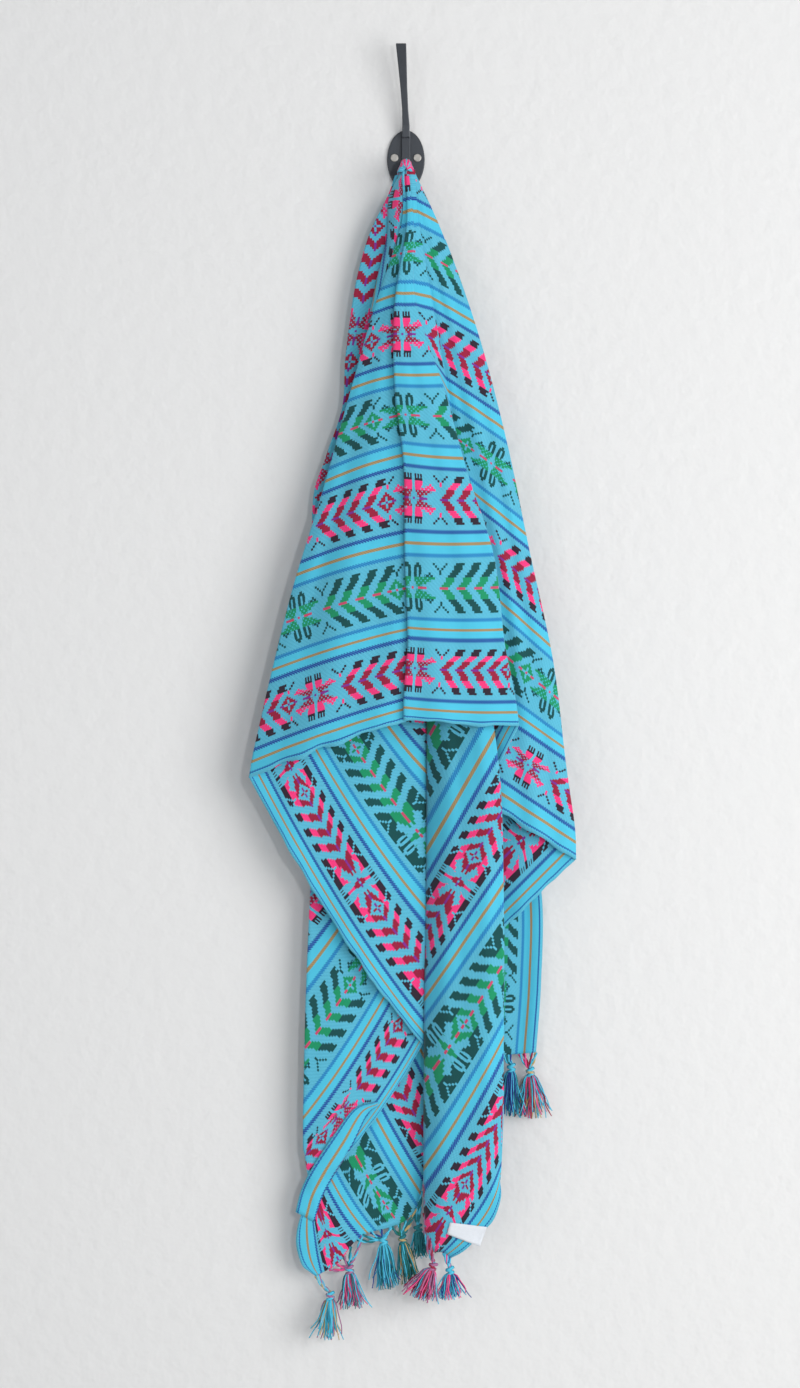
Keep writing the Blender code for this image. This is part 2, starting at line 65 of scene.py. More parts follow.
# Fold lines: the point (x, y, z) where each fold crosses each stripe row, lower selvedge first
FOLD_LINES: dict[str, list[Row]] = {
    "centre": [(-1, -88, -562), (-1, -87, -540), (1, -85, -510), (3, -83, -479), (0, -77, -398),
               (-1, -71, -308), (-10, -64, -229), (-10, -57, -147), (2, -50, -67), (1, -46, -10.6)],
    "left": [(-156, -46, -620), (-151, -46, -592), (-143, -46, -557), (-135, -46, -522),
             (-112, -45, -430), (-83, -44, -336), (-57, -43, -243), (-32, -42, -155),
             (-5, -42, -69), (-3, -45, -10.6)],
    "ridge": [(113, -78, -568), (110, -77, -544), (104, -76, -512), (98, -75, -481),
              (88, -71, -398), (61, -66, -313), (38, -60, -229), (11, -55, -147), (8, -50, -66),
              (3, -46, -10.6)],
    "inner": [(75, -52, -642), (77, -52, -609), (79, -52, -577), (80, -51, -545), (75, -49, -439),
              (58, -47, -338), (44, -46, -245), (28, -46, -151), (14, -46, -67), (5, -45, -10.9)],
    "right": [(171, -42, -702), (170, -42, -672), (165, -42, -636), (160, -42, -600),
              (148, -41, -503), (124, -40, -391), (102, -39, -285), (74, -38, -178),
              (40, -37, -80), (10, -38, -14)],
    "corner": [(32, -27, -836), (32, -27, -812), (32, -27, -766), (32, -27, -706), (32, -27, -583),
               (32, -27, -458), (28, -26, -335), (24, -26, -210), (20, -27, -95)],
    "column": [(95, -50, -1022), (96, -52, -1006), (98, -56, -952), (98, -60, -895),
               (98, -67, -747), (92, -72, -598), (62, -65, -430), (34, -56, -270), (22, -42, -112)],
    "valley": [(45, -34, -1102), (38, -35, -1096), (22, -36, -1088), (19, -37, -1030),
               (21, -38, -863), (26, -39, -720), (28, -40, -505), (24, -40, -330), (14, -36, -140)],
    "left_valley": [(18, -33, -888), (20, -33, -866), (22, -34, -815), (24, -34, -770),
                    (23, -34, -635), (20, -34, -505), (16, -34, -370), (12, -34, -232),
                    (4, -35, -104)],
    "left_low": [(-93, -30, -1034), (-96, -30, -1026), (-100, -31, -1000), (-102, -31, -975),
                 (-99, -31, -836), (-91, -31, -673), (-75, -31, -489), (-46, -31, -307),
                 (-16, -31, -127)],
    "end": [(-90, -24, -1121), (-84, -24, -1118), (-66, -24, -1107), (-44, -23, -1081),
            (12, -22, -1051), (21, -22, -925), (20, -22, -760), (12, -23, -520), (0, -25, -220)],
}

# Where the pattern lies along a stretch: which way it runs, then, at heights on the cloth, the place in
# the pattern at the stretch's first fold and how fast it goes on from there
PLACES: dict[str, tuple[int, tuple[Row, ...]]] = {
    "front_left": (-1, ((0, -42, 1), (57, -35.4, 1), (139, -15.4, 1), (222, -6, 1), (304, 1, 1),
                        (387, -1, 1), (469, 7, 1), (551, 5, 1))),
    "front_right": (1, ((0, -8, 1.12), (57, -8, 1.12), (139, -5, 1.02), (222, -8, 1.06), (304, -6, 1),
                        (387, -7.5, 1.06), (469, 2, 1), (551, 3, 1))),
    "right_flank": (1, ((0, 240, 1), (57, 221, 1), (139, 188, 1), (222, 128, 1), (304, 92, 1),
                        (387, 42, 1), (469, 27, 1), (551, 15, 1))),
    "right_corner_reverse": (1, ((0, 345, 1), (57, 344, 1), (139, 287, 1), (222, 220, 1), (304, 158, 1),
                                 (387, 108, 1), (469, 68, 1))),
    "right_reverse": (1, ((0, 84, 1), (57, 24.4, 1), (139, -101.6, 1), (222, -217.4, 1),
                          (304, -347, 1), (387, -465, 1), (469, -580, 1))),
    "left_reverse": (-1, ((0, -252, 1), (57, -216.6, 1), (139, -160.6, 1), (222, -85, 1), (304, -32, 1),
                          (387, 30, 1), (469, 90, 1))),
    "lower_left": (-1, ((0, -35.5, 1), (57, 27.3, 1), (139, 128.5, 1), (222, 228.2, 1), (304, 337, 1),
                        (387, 440, 1))),
    "end_reverse": (-1, ((0, 46, 1), (57, 79, 1), (139, 143, 1), (222, 285, 1), (304, 420, 1))),
}


# ---------------------------------------------------------------- shader arithmetic
class Signal:
    """A value inside a node tree that can be combined with ordinary arithmetic."""

    def __init__(self, tree: bpy.types.NodeTree, socket: bpy.types.NodeSocket) -> None:
        """Keep the tree and the socket that gives the value."""
        self.tree = tree
        self.socket = socket

    def apply(self, operation: str, *others: "Signal | float") -> "Signal":
        """Return the result of a maths node.

        Args:
            operation: The node's operation.
            others: Its second and third inputs.

        Returns:
            The node's value.
        """
        node = self.tree.nodes.new("ShaderNodeMath")
        node.operation = operation
        for slot, value in zip(node.inputs, (self, *others)):
            if isinstance(value, Signal):
                self.tree.links.new(value.socket, slot)
            else:
                slot.default_value = value
        return Signal(self.tree, node.outputs[0])

    def __add__(self, other: "Signal | float") -> "Signal":
        """Return the sum."""
        return self.apply("ADD", other)

    def __sub__(self, other: "Signal | float") -> "Signal":
        """Return the difference."""
        return self.apply("SUBTRACT", other)

    def __mul__(self, other: "Signal | float") -> "Signal":
        """Return the product, which also joins two masks."""
        return self.apply("MULTIPLY", other)

    def __truediv__(self, other: "Signal | float") -> "Signal":
        """Return the quotient."""
        return self.apply("DIVIDE", other)

    def __lt__(self, other: "Signal | float") -> "Signal":
        """Return the mask of where this is less."""
        return self.apply("LESS_THAN", other)

    def __gt__(self, other: "Signal | float") -> "Signal":
        """Return the mask of where this is greater."""
        return self.apply("GREATER_THAN", other)

    def __or__(self, other: "Signal | float") -> "Signal":
        """Return the larger, which also unites two masks."""
        return self.apply("MAXIMUM", other)

    def size(self) -> "Signal":
        """Return the value without its sign."""
        return self.apply("ABSOLUTE")

    def wrap(self, period: float) -> "Signal":
        """Return the value wrapped into 0 to period."""
        return self.apply("FLOORED_MODULO", period)

    def whole(self) -> "Signal":
        """Return the nearest whole number."""
        return self.apply("ROUND")

    def flip(self) -> "Signal":
        """Return one minus the value."""
        return Signal(self.tree, self.socket) * -1.0 + 1.0

    def near(self, place: float, reach: float) -> "Signal":
        """Return the mask of where the value lies within reach of place."""
        return (self - place).size() < reach


def mix(tree: bpy.types.NodeTree, mask: Signal, low: "Colour | bpy.types.NodeSocket",
        high: "Colour | bpy.types.NodeSocket") -> bpy.types.NodeSocket:
    """Return the colour that goes from low to high with the mask.

    Args:
        tree: the node tree.
        mask: 0 gives low and 1 gives high.
        low: a colour, or the socket of one.
        high: a colour, or the socket of one.

    Returns:
        The socket of the mixed colour.
    """
    node = tree.nodes.new("ShaderNodeMix")
    node.data_type = "RGBA"
    tree.links.new(mask.socket, node.inputs["Factor"])
    for slot, value in ((node.inputs[6], low), (node.inputs[7], high)):
        if isinstance(value, tuple):
            slot.default_value = value
        else:
            tree.links.new(value, slot)
    return node.outputs[2]


# Thread colours, as linear light
TURQUOISE: Colour = (0.07, 0.50, 0.70, 1)
GROUND: Colour = (0.10, 0.46, 0.63, 1)
GROUND_DARK: Colour = (0.035, 0.27, 0.43, 1)
DEEP_BLUE: Colour = (0.018, 0.055, 0.30, 1)
MID_BLUE: Colour = (0.02, 0.19, 0.47, 1)
OCHRE: Colour = (0.40, 0.27, 0.12, 1)
OCHRE_DARK: Colour = (0.22, 0.17, 0.10, 1)
VIOLET: Colour = (0.22, 0.03, 0.30, 1)
CRIMSON: Colour = (0.33, 0.012, 0.045, 1)
HOT_PINK: Colour = (0.95, 0.045, 0.22, 1)
BROWN_BLACK: Colour = (0.03, 0.018, 0.03, 1)
ROSE: Colour = (0.60, 0.07, 0.16, 1)
LEAF: Colour = (0.01, 0.30, 0.13, 1)
FOREST: Colour = (0.006, 0.075, 0.075, 1)


class Face(Enum):
    """Which side of the cloth a surface is."""

    RIGHT = "right"
    REVERSE = "reverse"


class Brocade:
    """The woven pattern as a shader node group of plain arithmetic on the cloth's own coordinates."""

    def __init__(self) -> None:
        """Make the group and its sockets."""
        self.tree = bpy.data.node_groups.new("Brocade weave", "ShaderNodeTree")
        face = self.tree.interface
        face.new_socket("Cloth", in_out="INPUT", socket_type="NodeSocketVector")
        reverse = face.new_socket("Reverse", in_out="INPUT", socket_type="NodeSocketFloat")
        reverse.min_value, reverse.max_value = 0.0, 1.0
        face.new_socket("Color", in_out="OUTPUT", socket_type="NodeSocketColor")
        face.new_socket("Height", in_out="OUTPUT", socket_type="NodeSocketFloat")
        face.new_socket("Crease", in_out="OUTPUT", socket_type="NodeSocketFloat")
        self.start = self.tree.nodes.new("NodeGroupInput")
        self.end = self.tree.nodes.new("NodeGroupOutput")
        self.build()

    def signal(self, socket: bpy.types.NodeSocket) -> Signal:
        """Return a socket as a signal."""
        return Signal(self.tree, socket)

    def petals(self, x: Signal, fine: Signal, y: Signal, green: Signal) -> tuple[Signal, Signal]:
        """Return the masks of the flower and of the dots in its slanting petals.

        Args:
            x: The cells from the flower's middle along the cloth.
            fine: The same, not rounded to whole cells.
            y: The cells from the band's middle.
            green: The mask of the green bands.

        Returns:
            The two masks.
        """
        lean = (y * 0.2 + 1.2).apply("MINIMUM", 2.5)
        crown = (y * -0.9 + 9.7) | (green.flip() * 9.0)
        half = (y * 0.3 + 0.05).apply("MINIMUM", 1.8).apply("MINIMUM", crown)
        upright = ((fine - lean).size() < half) * (y > 2.5) * (y < 10.5)
        teeth = (y > 8.5) * (((fine - 0.7) / 1.3).apply("FRACT") > 0.62) * green.flip()
        hollow = fine.near(2.5, 0.45) * y.near(6.7, 2.0) * green
        upright = upright * teeth.flip() * hollow.flip()
        slanting = (y - (x * 0.5 + 0.3)).size() < 1.75
        slanting = slanting * (x > 1.5) * (x < 10.5) * ((x + y) < 14.5) * (y > 0.5)
        bar = (y < 0.5) * (x > 2.5) * (x < 6.5)
        dot = (x < 0.5) * (y < 0.5)
        dots = slanting * (x + y).wrap(2.0).near(1.0, 0.5) * (x < 8.5)
        return upright | slanting | bar | dot, dots

    def from_flower(self, place: Signal) -> Signal:
        """Return how far a place in the repeat is from the nearest flower, in cells."""
        return place.apply("MINIMUM", place * -1.0 + float(REPEAT_CELLS))

    def motifs(self, place: Signal, fine: Signal, y: Signal, green: Signal) -> tuple[Signal, Signal]:
        """Return the masks of every motif and of the pale dots.

        Args:
            place: The cell's place in the repeat.
            fine: The same, not rounded to whole cells.
            y: The cells from the band's middle.
            green: The mask of the green bands.

        Returns:
            The two masks.
        """
        x = self.from_flower(place)
        flower, dots = self.petals(x, self.from_flower(fine), y, green)
        along = place - 12.8 - y * 0.78
        arrows = (along > -0.001) * (along < 31.9) * (along.wrap(8.0) < 4.0)
        ring = (place - 48.0).size() / 4.4 + y / 4.1
        cross = ((place - 48.0).size() - y).size() < 0.5
        diamond = (ring > 0.68) * (ring < 1.08) | cross * (y < 1.5)
        step = (x - 13.0).size()
        sprig = (step < 0.5) * y.near(6.5, 1.0) | ((step - y + 7.0).size() < 0.5) * (y > 7.5)
        inside = y < 10.5
        return (flower | arrows | diamond | sprig) * inside, dots * inside

    def build(self) -> None:
        """Wire the stripes, the motifs and the weave together."""
        tree = self.tree
        split = tree.nodes.new("ShaderNodeSeparateXYZ")
        tree.links.new(self.start.outputs["Cloth"], split.inputs[0])
        grain = tree.nodes.new("ShaderNodeTexNoise")
        grain.inputs["Scale"].default_value = 900.0
        tree.links.new(self.start.outputs["Cloth"], grain.inputs["Vector"])
        shake = (self.signal(grain.outputs["Fac"]) - 0.5) * 0.9
        u = self.signal(split.outputs[0]) * 1000.0
        v = self.signal(split.outputs[1]) * 1000.0
        reverse = self.signal(self.start.outputs["Reverse"])
        fine = ((u + shake) / CELL).wrap(float(REPEAT_CELLS))
        place = ((u + shake) / CELL).whole().wrap(float(REPEAT_CELLS))
        from_ochre = v - FIRST_OCHRE
        across = from_ochre.wrap(BAND_PITCH)
        green = (from_ochre / BAND_PITCH).apply("FLOOR").wrap(2.0)
        middle = across - BAND_PITCH / 2
        y = ((middle + shake) / CELL).whole().size()
        mask, dots = self.motifs(place, fine, y, green)
        spot_u = ((u + shake) / CELL + 0.5).apply("FRACT") - 0.5
        spot_v = ((middle + shake) / CELL + 0.5).apply("FRACT") - 0.5
        dots = dots * ((spot_u.size() | spot_v.size()) < 0.3)
        inside = y < 10.5
        shown = mask * reverse.flip() + mask.flip() * inside * reverse
        # Ground: plain between the bands, speckled inside them
        twill = ((u + v * 0.5) / 1.1).apply("FRACT") > 0.5
        speckle = (((u - v) / 2.2).whole() + (v / 1.1).whole()).wrap(2.0) * twill
        in_band = middle.size() < 28.4
        colour = mix(tree, speckle * 0.55, GROUND, GROUND_DARK)
        colour = mix(tree, in_band, TURQUOISE, colour)
        # Motif threads: one colour for each height in the band
        pink = mix(tree, y > 0.5, VIOLET, CRIMSON)
        at_flower = self.from_flower(place) < 11.5
        pink = mix(tree, y + at_flower * 1.2 > 4.5, pink, HOT_PINK)
        pink = mix(tree, y > 7.5, pink, BROWN_BLACK)
        leaf = mix(tree, y > 0.5, ROSE, LEAF)
        leaf = mix(tree, y > 4.5, leaf, FOREST)
        thread = mix(tree, green, pink, leaf)
        float_lines = ((v / 1.1).apply("FRACT") > 0.55) * 0.25
        thread = mix(tree, float_lines, thread, (0.01, 0.02, 0.05, 1))
        thread = mix(tree, dots * reverse.flip() * 0.75, thread, TURQUOISE)
        colour = mix(tree, shown, colour, thread)
        # Lines: a rope-like one at each side of a band and ochre between the bands
        rope = ((u + v * 1.2) / 2.9).apply("FRACT")
        side = (middle.size() - 30.0).size()
        narrow = (v < 9.0) | (v > CLOTH_WIDTH - 9.0)
        reach = (rope.near(0.5, 0.25) * 0.9 + 1.3) * (narrow * -0.45 + 1.0)
        blue = mix(tree, green * (narrow * -0.7 + 1.0), DEEP_BLUE, MID_BLUE)
        blue = mix(tree, (rope < 0.3) * 0.38, blue, TURQUOISE)
        colour = mix(tree, side < reach, colour, blue)
        gold = mix(tree, (rope > 0.5) * 0.7, OCHRE, OCHRE_DARK)
        colour = mix(tree, middle.size() > BAND_PITCH / 2 - 1.5, colour, gold)
        tree.links.new(colour, self.end.inputs["Color"])
        weave = ((u / 1.3).apply("FRACT") - 0.5).size() + ((v / 1.3).apply("FRACT") - 0.5).size()
        height = weave * 0.25 + shown * 0.5
        tree.links.new(height.socket, self.end.inputs["Height"])
        crease = tree.nodes.new("ShaderNodeTexNoise")
        crease.inputs["Scale"].default_value = 24.0
        crease.inputs["Detail"].default_value = 3.0
        spot = tree.nodes.new("ShaderNodeTexCoord")
        tree.links.new(spot.outputs["Object"], crease.inputs["Vector"])
        tree.links.new(crease.outputs["Fac"], self.end.inputs["Crease"])


@dataclass(frozen=True)
class ClothFinish:
    """The brocade on one face of the cloth."""

    name: str
    face: Face
    roughness: float = 0.86

    def material(self) -> bpy.types.Material:
        """Return the material, made once."""
        made = bpy.data.materials.get(self.name)
        if made:
            return made
        made, shader, tree = new_material(self.name)
        weave = tree.nodes.new("ShaderNodeGroup")
        weave.node_tree = brocade_group()
        place = tree.nodes.new("ShaderNodeUVMap")
        place.uv_map = "Cloth"
        tree.links.new(place.outputs["UV"], weave.inputs["Cloth"])
        weave.inputs["Reverse"].default_value = 1.0 if self.face is Face.REVERSE else 0.0
        tree.links.new(weave.outputs["Color"], shader.inputs["Base Color"])
        bump = tree.nodes.new("ShaderNodeBump")
        bump.inputs["Distance"].default_value = 0.0004
        bump.inputs["Strength"].default_value = 0.6
        tree.links.new(weave.outputs["Height"], bump.inputs["Height"])
        soft = tree.nodes.new("ShaderNodeBump")
        soft.inputs["Distance"].default_value = 0.004
        soft.inputs["Strength"].default_value = 0.5
        tree.links.new(weave.outputs["Crease"], soft.inputs["Height"])
        tree.links.new(bump.outputs["Normal"], soft.inputs["Normal"])
        tree.links.new(soft.outputs["Normal"], shader.inputs["Normal"])
        shader.inputs["Roughness"].default_value = self.roughness
        shader.inputs["Specular IOR Level"].default_value = 0.25
        shader.inputs["Sheen Weight"].default_value = 0.12
        shader.inputs["Sheen Roughness"].default_value = 0.5
        return made


@dataclass(frozen=True)
class PlainFinish:
    """A finish of one colour with a fine mottle."""

    name: str
    colour: Colour
    roughness: float = 0.85
    metallic: float = 0.0
    mottle: float = 0.12
    scale: float = 300.0
    grain: float = 0.0001

    def material(self) -> bpy.types.Material:
        """Return the material, made once."""
        made = bpy.data.materials.get(self.name)
        if made:
            return made
        made, shader, tree = new_material(self.name)
        group = tree.nodes.new("ShaderNodeGroup")
        group.node_tree = mottle_group()
        group.inputs["Tint"].default_value = self.colour
        group.inputs["Amount"].default_value = self.mottle
        group.inputs["Scale"].default_value = self.scale
        group.inputs["Gloss"].default_value = self.roughness
        tree.links.new(group.outputs["Color"], shader.inputs["Base Color"])
        tree.links.new(group.outputs["Roughness"], shader.inputs["Roughness"])
        relief = tree.nodes.new("ShaderNodeBump")
        relief.inputs["Distance"].default_value = self.grain
        tree.links.new(group.outputs["Height"], relief.inputs["Height"])
        tree.links.new(relief.outputs["Normal"], shader.inputs["Normal"])
        shader.inputs["Metallic"].default_value = self.metallic
        made.diffuse_color = self.colour
        return made


def new_material(name: str) -> tuple[bpy.types.Material, bpy.types.Node, bpy.types.NodeTree]:
    """Return a new material, its Principled node and its tree.

    Args:
        name: the material's name.

    Returns:
        The three, in that order.
    """
    made = bpy.data.materials.new(name)
    made.use_nodes = True
    tree = made.node_tree
    return made, tree.nodes["Principled BSDF"], tree


def brocade_group() -> bpy.types.NodeTree:
    """Return the brocade's node group, made once."""
    return bpy.data.node_groups.get("Brocade weave") or Brocade().tree


def mottle_group() -> bpy.types.NodeTree:
    """Return the group that varies a tint a little over the surface, made once."""
    name = "Soft mottle"
    made = bpy.data.node_groups.get(name)
    if made:
        return made
    tree = bpy.data.node_groups.new(name, "ShaderNodeTree")
    tint = tree.interface.new_socket("Tint", in_out="INPUT", socket_type="NodeSocketColor")
    tint.default_value = (0.5, 0.5, 0.5, 1)
    tree.interface.new_socket("Amount", in_out="INPUT", socket_type="NodeSocketFloat")
    tree.interface.new_socket("Scale", in_out="INPUT", socket_type="NodeSocketFloat")
    tree.interface.new_socket("Gloss", in_out="INPUT", socket_type="NodeSocketFloat")
    tree.interface.new_socket("Color", in_out="OUTPUT", socket_type="NodeSocketColor")
    tree.interface.new_socket("Roughness", in_out="OUTPUT", socket_type="NodeSocketFloat")
    tree.interface.new_socket("Height", in_out="OUTPUT", socket_type="NodeSocketFloat")
    start = tree.nodes.new("NodeGroupInput")
    end = tree.nodes.new("NodeGroupOutput")
    grain = tree.nodes.new("ShaderNodeTexNoise")
    spot = tree.nodes.new("ShaderNodeTexCoord")
    tree.links.new(spot.outputs["Object"], grain.inputs["Vector"])
    tree.links.new(start.outputs["Scale"], grain.inputs["Scale"])
    lift = (Signal(tree, grain.outputs["Fac"]) - 0.5) * Signal(tree, start.outputs["Amount"]) * 2.0 + 1.0
    shade = tree.nodes.new("ShaderNodeVectorMath")
    shade.operation = "SCALE"
    tree.links.new(start.outputs["Tint"], shade.inputs[0])
    tree.links.new(lift.socket, shade.inputs["Scale"])
    tree.links.new(shade.outputs[0], end.inputs["Color"])
    rough = Signal(tree, start.outputs["Gloss"]) + (Signal(tree, grain.outputs["Fac"]) - 0.5) * 0.16
    tree.links.new(rough.socket, end.inputs["Roughness"])
    tree.links.new(grain.outputs["Fac"], end.inputs["Height"])
    return tree


RIGHT_FACE = ClothFinish("Brocade right face", Face.RIGHT)
REVERSE_FACE = ClothFinish("Brocade reverse face", Face.REVERSE, roughness=0.9)
CHARCOAL = PlainFinish("Charcoal satin steel", (0.036, 0.042, 0.052, 1), 0.40, 0.35, 0.14, 420.0, 0.00005)
SCREW = PlainFinish("Screw steel", (0.36, 0.35, 0.33, 1), 0.38, 0.7, 0.1, 500.0)
LABEL_WHITE = PlainFinish("Label white", (0.68, 0.72, 0.78, 1), 0.8, 0.0, 0.05, 400.0)
YARNS = {
    "turquoise": PlainFinish("Yarn turquoise", (0.07, 0.50, 0.70, 1)),
    "teal": PlainFinish("Yarn teal", (0.01, 0.17, 0.20, 1)),
    "navy": PlainFinish("Yarn navy", (0.015, 0.05, 0.26, 1)),
    "pink": PlainFinish("Yarn pink", (0.80, 0.08, 0.26, 1)),
    "mauve": PlainFinish("Yarn mauve", (0.36, 0.14, 0.28, 1)),
    "crimson": PlainFinish("Yarn crimson", (0.30, 0.015, 0.05, 1)),
    "green": PlainFinish("Yarn green", (0.01, 0.16, 0.10, 1)),
    "ochre": PlainFinish("Yarn ochre", (0.50, 0.36, 0.16, 1)),
}


# ---------------------------------------------------------------- geometry helpers
def lerp(a: float, b: float, t: float) -> float:
    """Return the value between a and b."""
    return a + (b - a) * t


def curve_point(points: Sequence[Vector], t: float) -> Vector:
    """Return the point at parameter t of the smooth curve through the points, one unit apart.

    Args:
        points: two or more points.
        t: 0 at the first point, 1 at the next.

    Returns:
        The point on the curve.
    """
    last = len(points) - 1
    i = max(0, min(int(t), last - 1))
    f = t - i
    p1, p2 = points[i], points[i + 1]
    p0 = points[i - 1] if i > 0 else 2 * p1 - p2
    p3 = points[i + 2] if i + 2 <= last else 2 * p2 - p1
    return 0.5 * (2 * p1 + (p2 - p0) * f + (2 * p0 - 5 * p1 + 4 * p2 - p3) * f * f
                  + (3 * p1 - p0 - 3 * p2 + p3) * f ** 3)


def line_points(rows: Iterable[Row]) -> list[Vector]:
    """Return a table's points, moved down by the drop."""
    return [Vector((x, y, z - CLOTH_DROP)) for x, y, z in rows]


def piecewise(pairs: Sequence[tuple[float, float]], x: float) -> float:
    """Return the value at x on the broken line through the pairs, carried on past its ends.

    Args:
        pairs: two or more pairs of x and value.
        x: where to read the line.

    Returns:
        The value there.
    """
    pairs = sorted(pairs)
    for (x0, y0), (x1, y1) in zip(pairs, pairs[1:]):
        if x <= x1:
            break
    return y0 + (y1 - y0) * (x - x0) / (x1 - x0)


def stripe_height(t: float) -> float:
    """Return the height on the cloth of row parameter t."""
    i = min(int(t), len(STRIPES) - 2)
    return lerp(STRIPES[i], STRIPES[i + 1], t - i)


def start_place(stretch: str, height: float) -> tuple[float, float]:
    """Return a stretch's place in the pattern at its first fold and its pace, at a height on the cloth."""
    rows = PLACES[stretch][1]
    return (piecewise([(h, place) for h, place, _ in rows], height),
            piecewise([(h, pace) for h, _, pace in rows], min(height, rows[-1][0])))


@dataclass
class Panel:
    """One stretch of cloth between two lines, with the depth of its two ends at their folds."""

    name: str
    start: list[Vector]
    end: list[Vector]
    bow: float = 0.0
    sag: float = 0.0
    swing: tuple[float, ...] = (0.0,) * 10
    columns: int = 30
    start_side: float = 0.0       # -1 is in front of the fold, +1 behind it
    end_side: float = 0.0
    rows: float = 9.0             # the last row parameter that this stretch reaches
    ripple: tuple[float, float, float] = (3.0, 0.8, 0.0)   # waves, millimetres, phase
    lip: float = 0.0              # how far it swells forward before it turns in at its end

    def edge(self, line: list[Vector], t: float) -> Vector:
        """Return the point of one of its lines at row parameter t."""
        return curve_point(line, t)

    def span(self, t: float) -> tuple[Vector, Vector, Vector, float]:
        """Return the ends of a row, the way from one to the other in the picture plane, and its length.

        Args:
            t: the row's parameter.

        Returns:
            Start, end, unit way and length.
        """
        a, b = self.edge(self.start, t), self.edge(self.end, t)
        way = Vector((b.x - a.x, 0, b.z - a.z))
        length = max(way.length, 1e-3)
        return a, b, way / length, (b - a).length

    def row(self, t: float, radius: float) -> list[Vector]:
        """Return the points of the row at parameter t, short of its folds by the fold's radius.

        Args:
            t: the row's parameter.
            radius: the folds' radius.

        Returns:
            The points, from the panel's start to its end.
        """
        a, b, way, length = self.span(t)
        fade = min(1.0, length / 120.0)
        k = min(int(t), len(self.swing) - 2)
        swing = lerp(self.swing[k], self.swing[k + 1], t - k)
        inset_a = radius if self.start_side else 0.0
        inset_b = radius if self.end_side else 0.0
        a = a + way * inset_a + Vector((0, radius * self.start_side, 0))
        b = b - way * inset_b + Vector((0, radius * self.end_side, 0))
        waves, high, phase = self.ripple
        loose = math.exp(-5.0 * t) * min(1.0, length / 60.0)
        points = []
        for c in range(self.columns + 1):
            s = c / self.columns
            hump = 4 * s * (1 - s)
            wave = high * fade * min(1.0, 6 * s, 6 * (1 - s)) * (
                math.sin(2 * math.pi * waves * s + phase + 0.35 * t)
                + 0.9 * noise.noise(Vector((6 * s + phase, 0.7 * t, phase * 2.0))))
            edge = min(1.0, 6 * s, 6 * (1 - s)) * loose
            flutter = edge * 4.0 * noise.noise(Vector((length * s / 21.0 + phase, 3.1, phase)))
            swell = self.lip * fade * s ** 1.5 * (1 - math.exp(-(1 - s) * length / 8.0))
            forward = swell + self.bow * length * hump - wave - 0.6 * flutter
            points.append(a.lerp(b, s) + Vector((swing * hump, -forward, flutter - self.sag * fade * hump)))
        return points

    def coordinates(self, row: list[Vector], t: float, last: float, sense: int) -> list[tuple[float, float]]:
        """Return the cloth's own coordinates, in millimetres, along a row of the stretch.

        Args:
            row: The row's points.
            t: The row's parameter.
            last: The place in the pattern where the stretch before it ended.
            sense: The way that a stretch with no place of its own carries on.

        Returns:
            The coordinates of each point.
        """
        height = stripe_height(t)
        place, pace = last, 1.0
        if self.name in PLACES:
            sense = PLACES[self.name][0]
            place, pace = start_place(self.name, height)
        made = []
        for i, point in enumerate(row):
            if i:
                place += sense * pace * (point - row[i - 1]).length
            made.append((place, height))
        return made


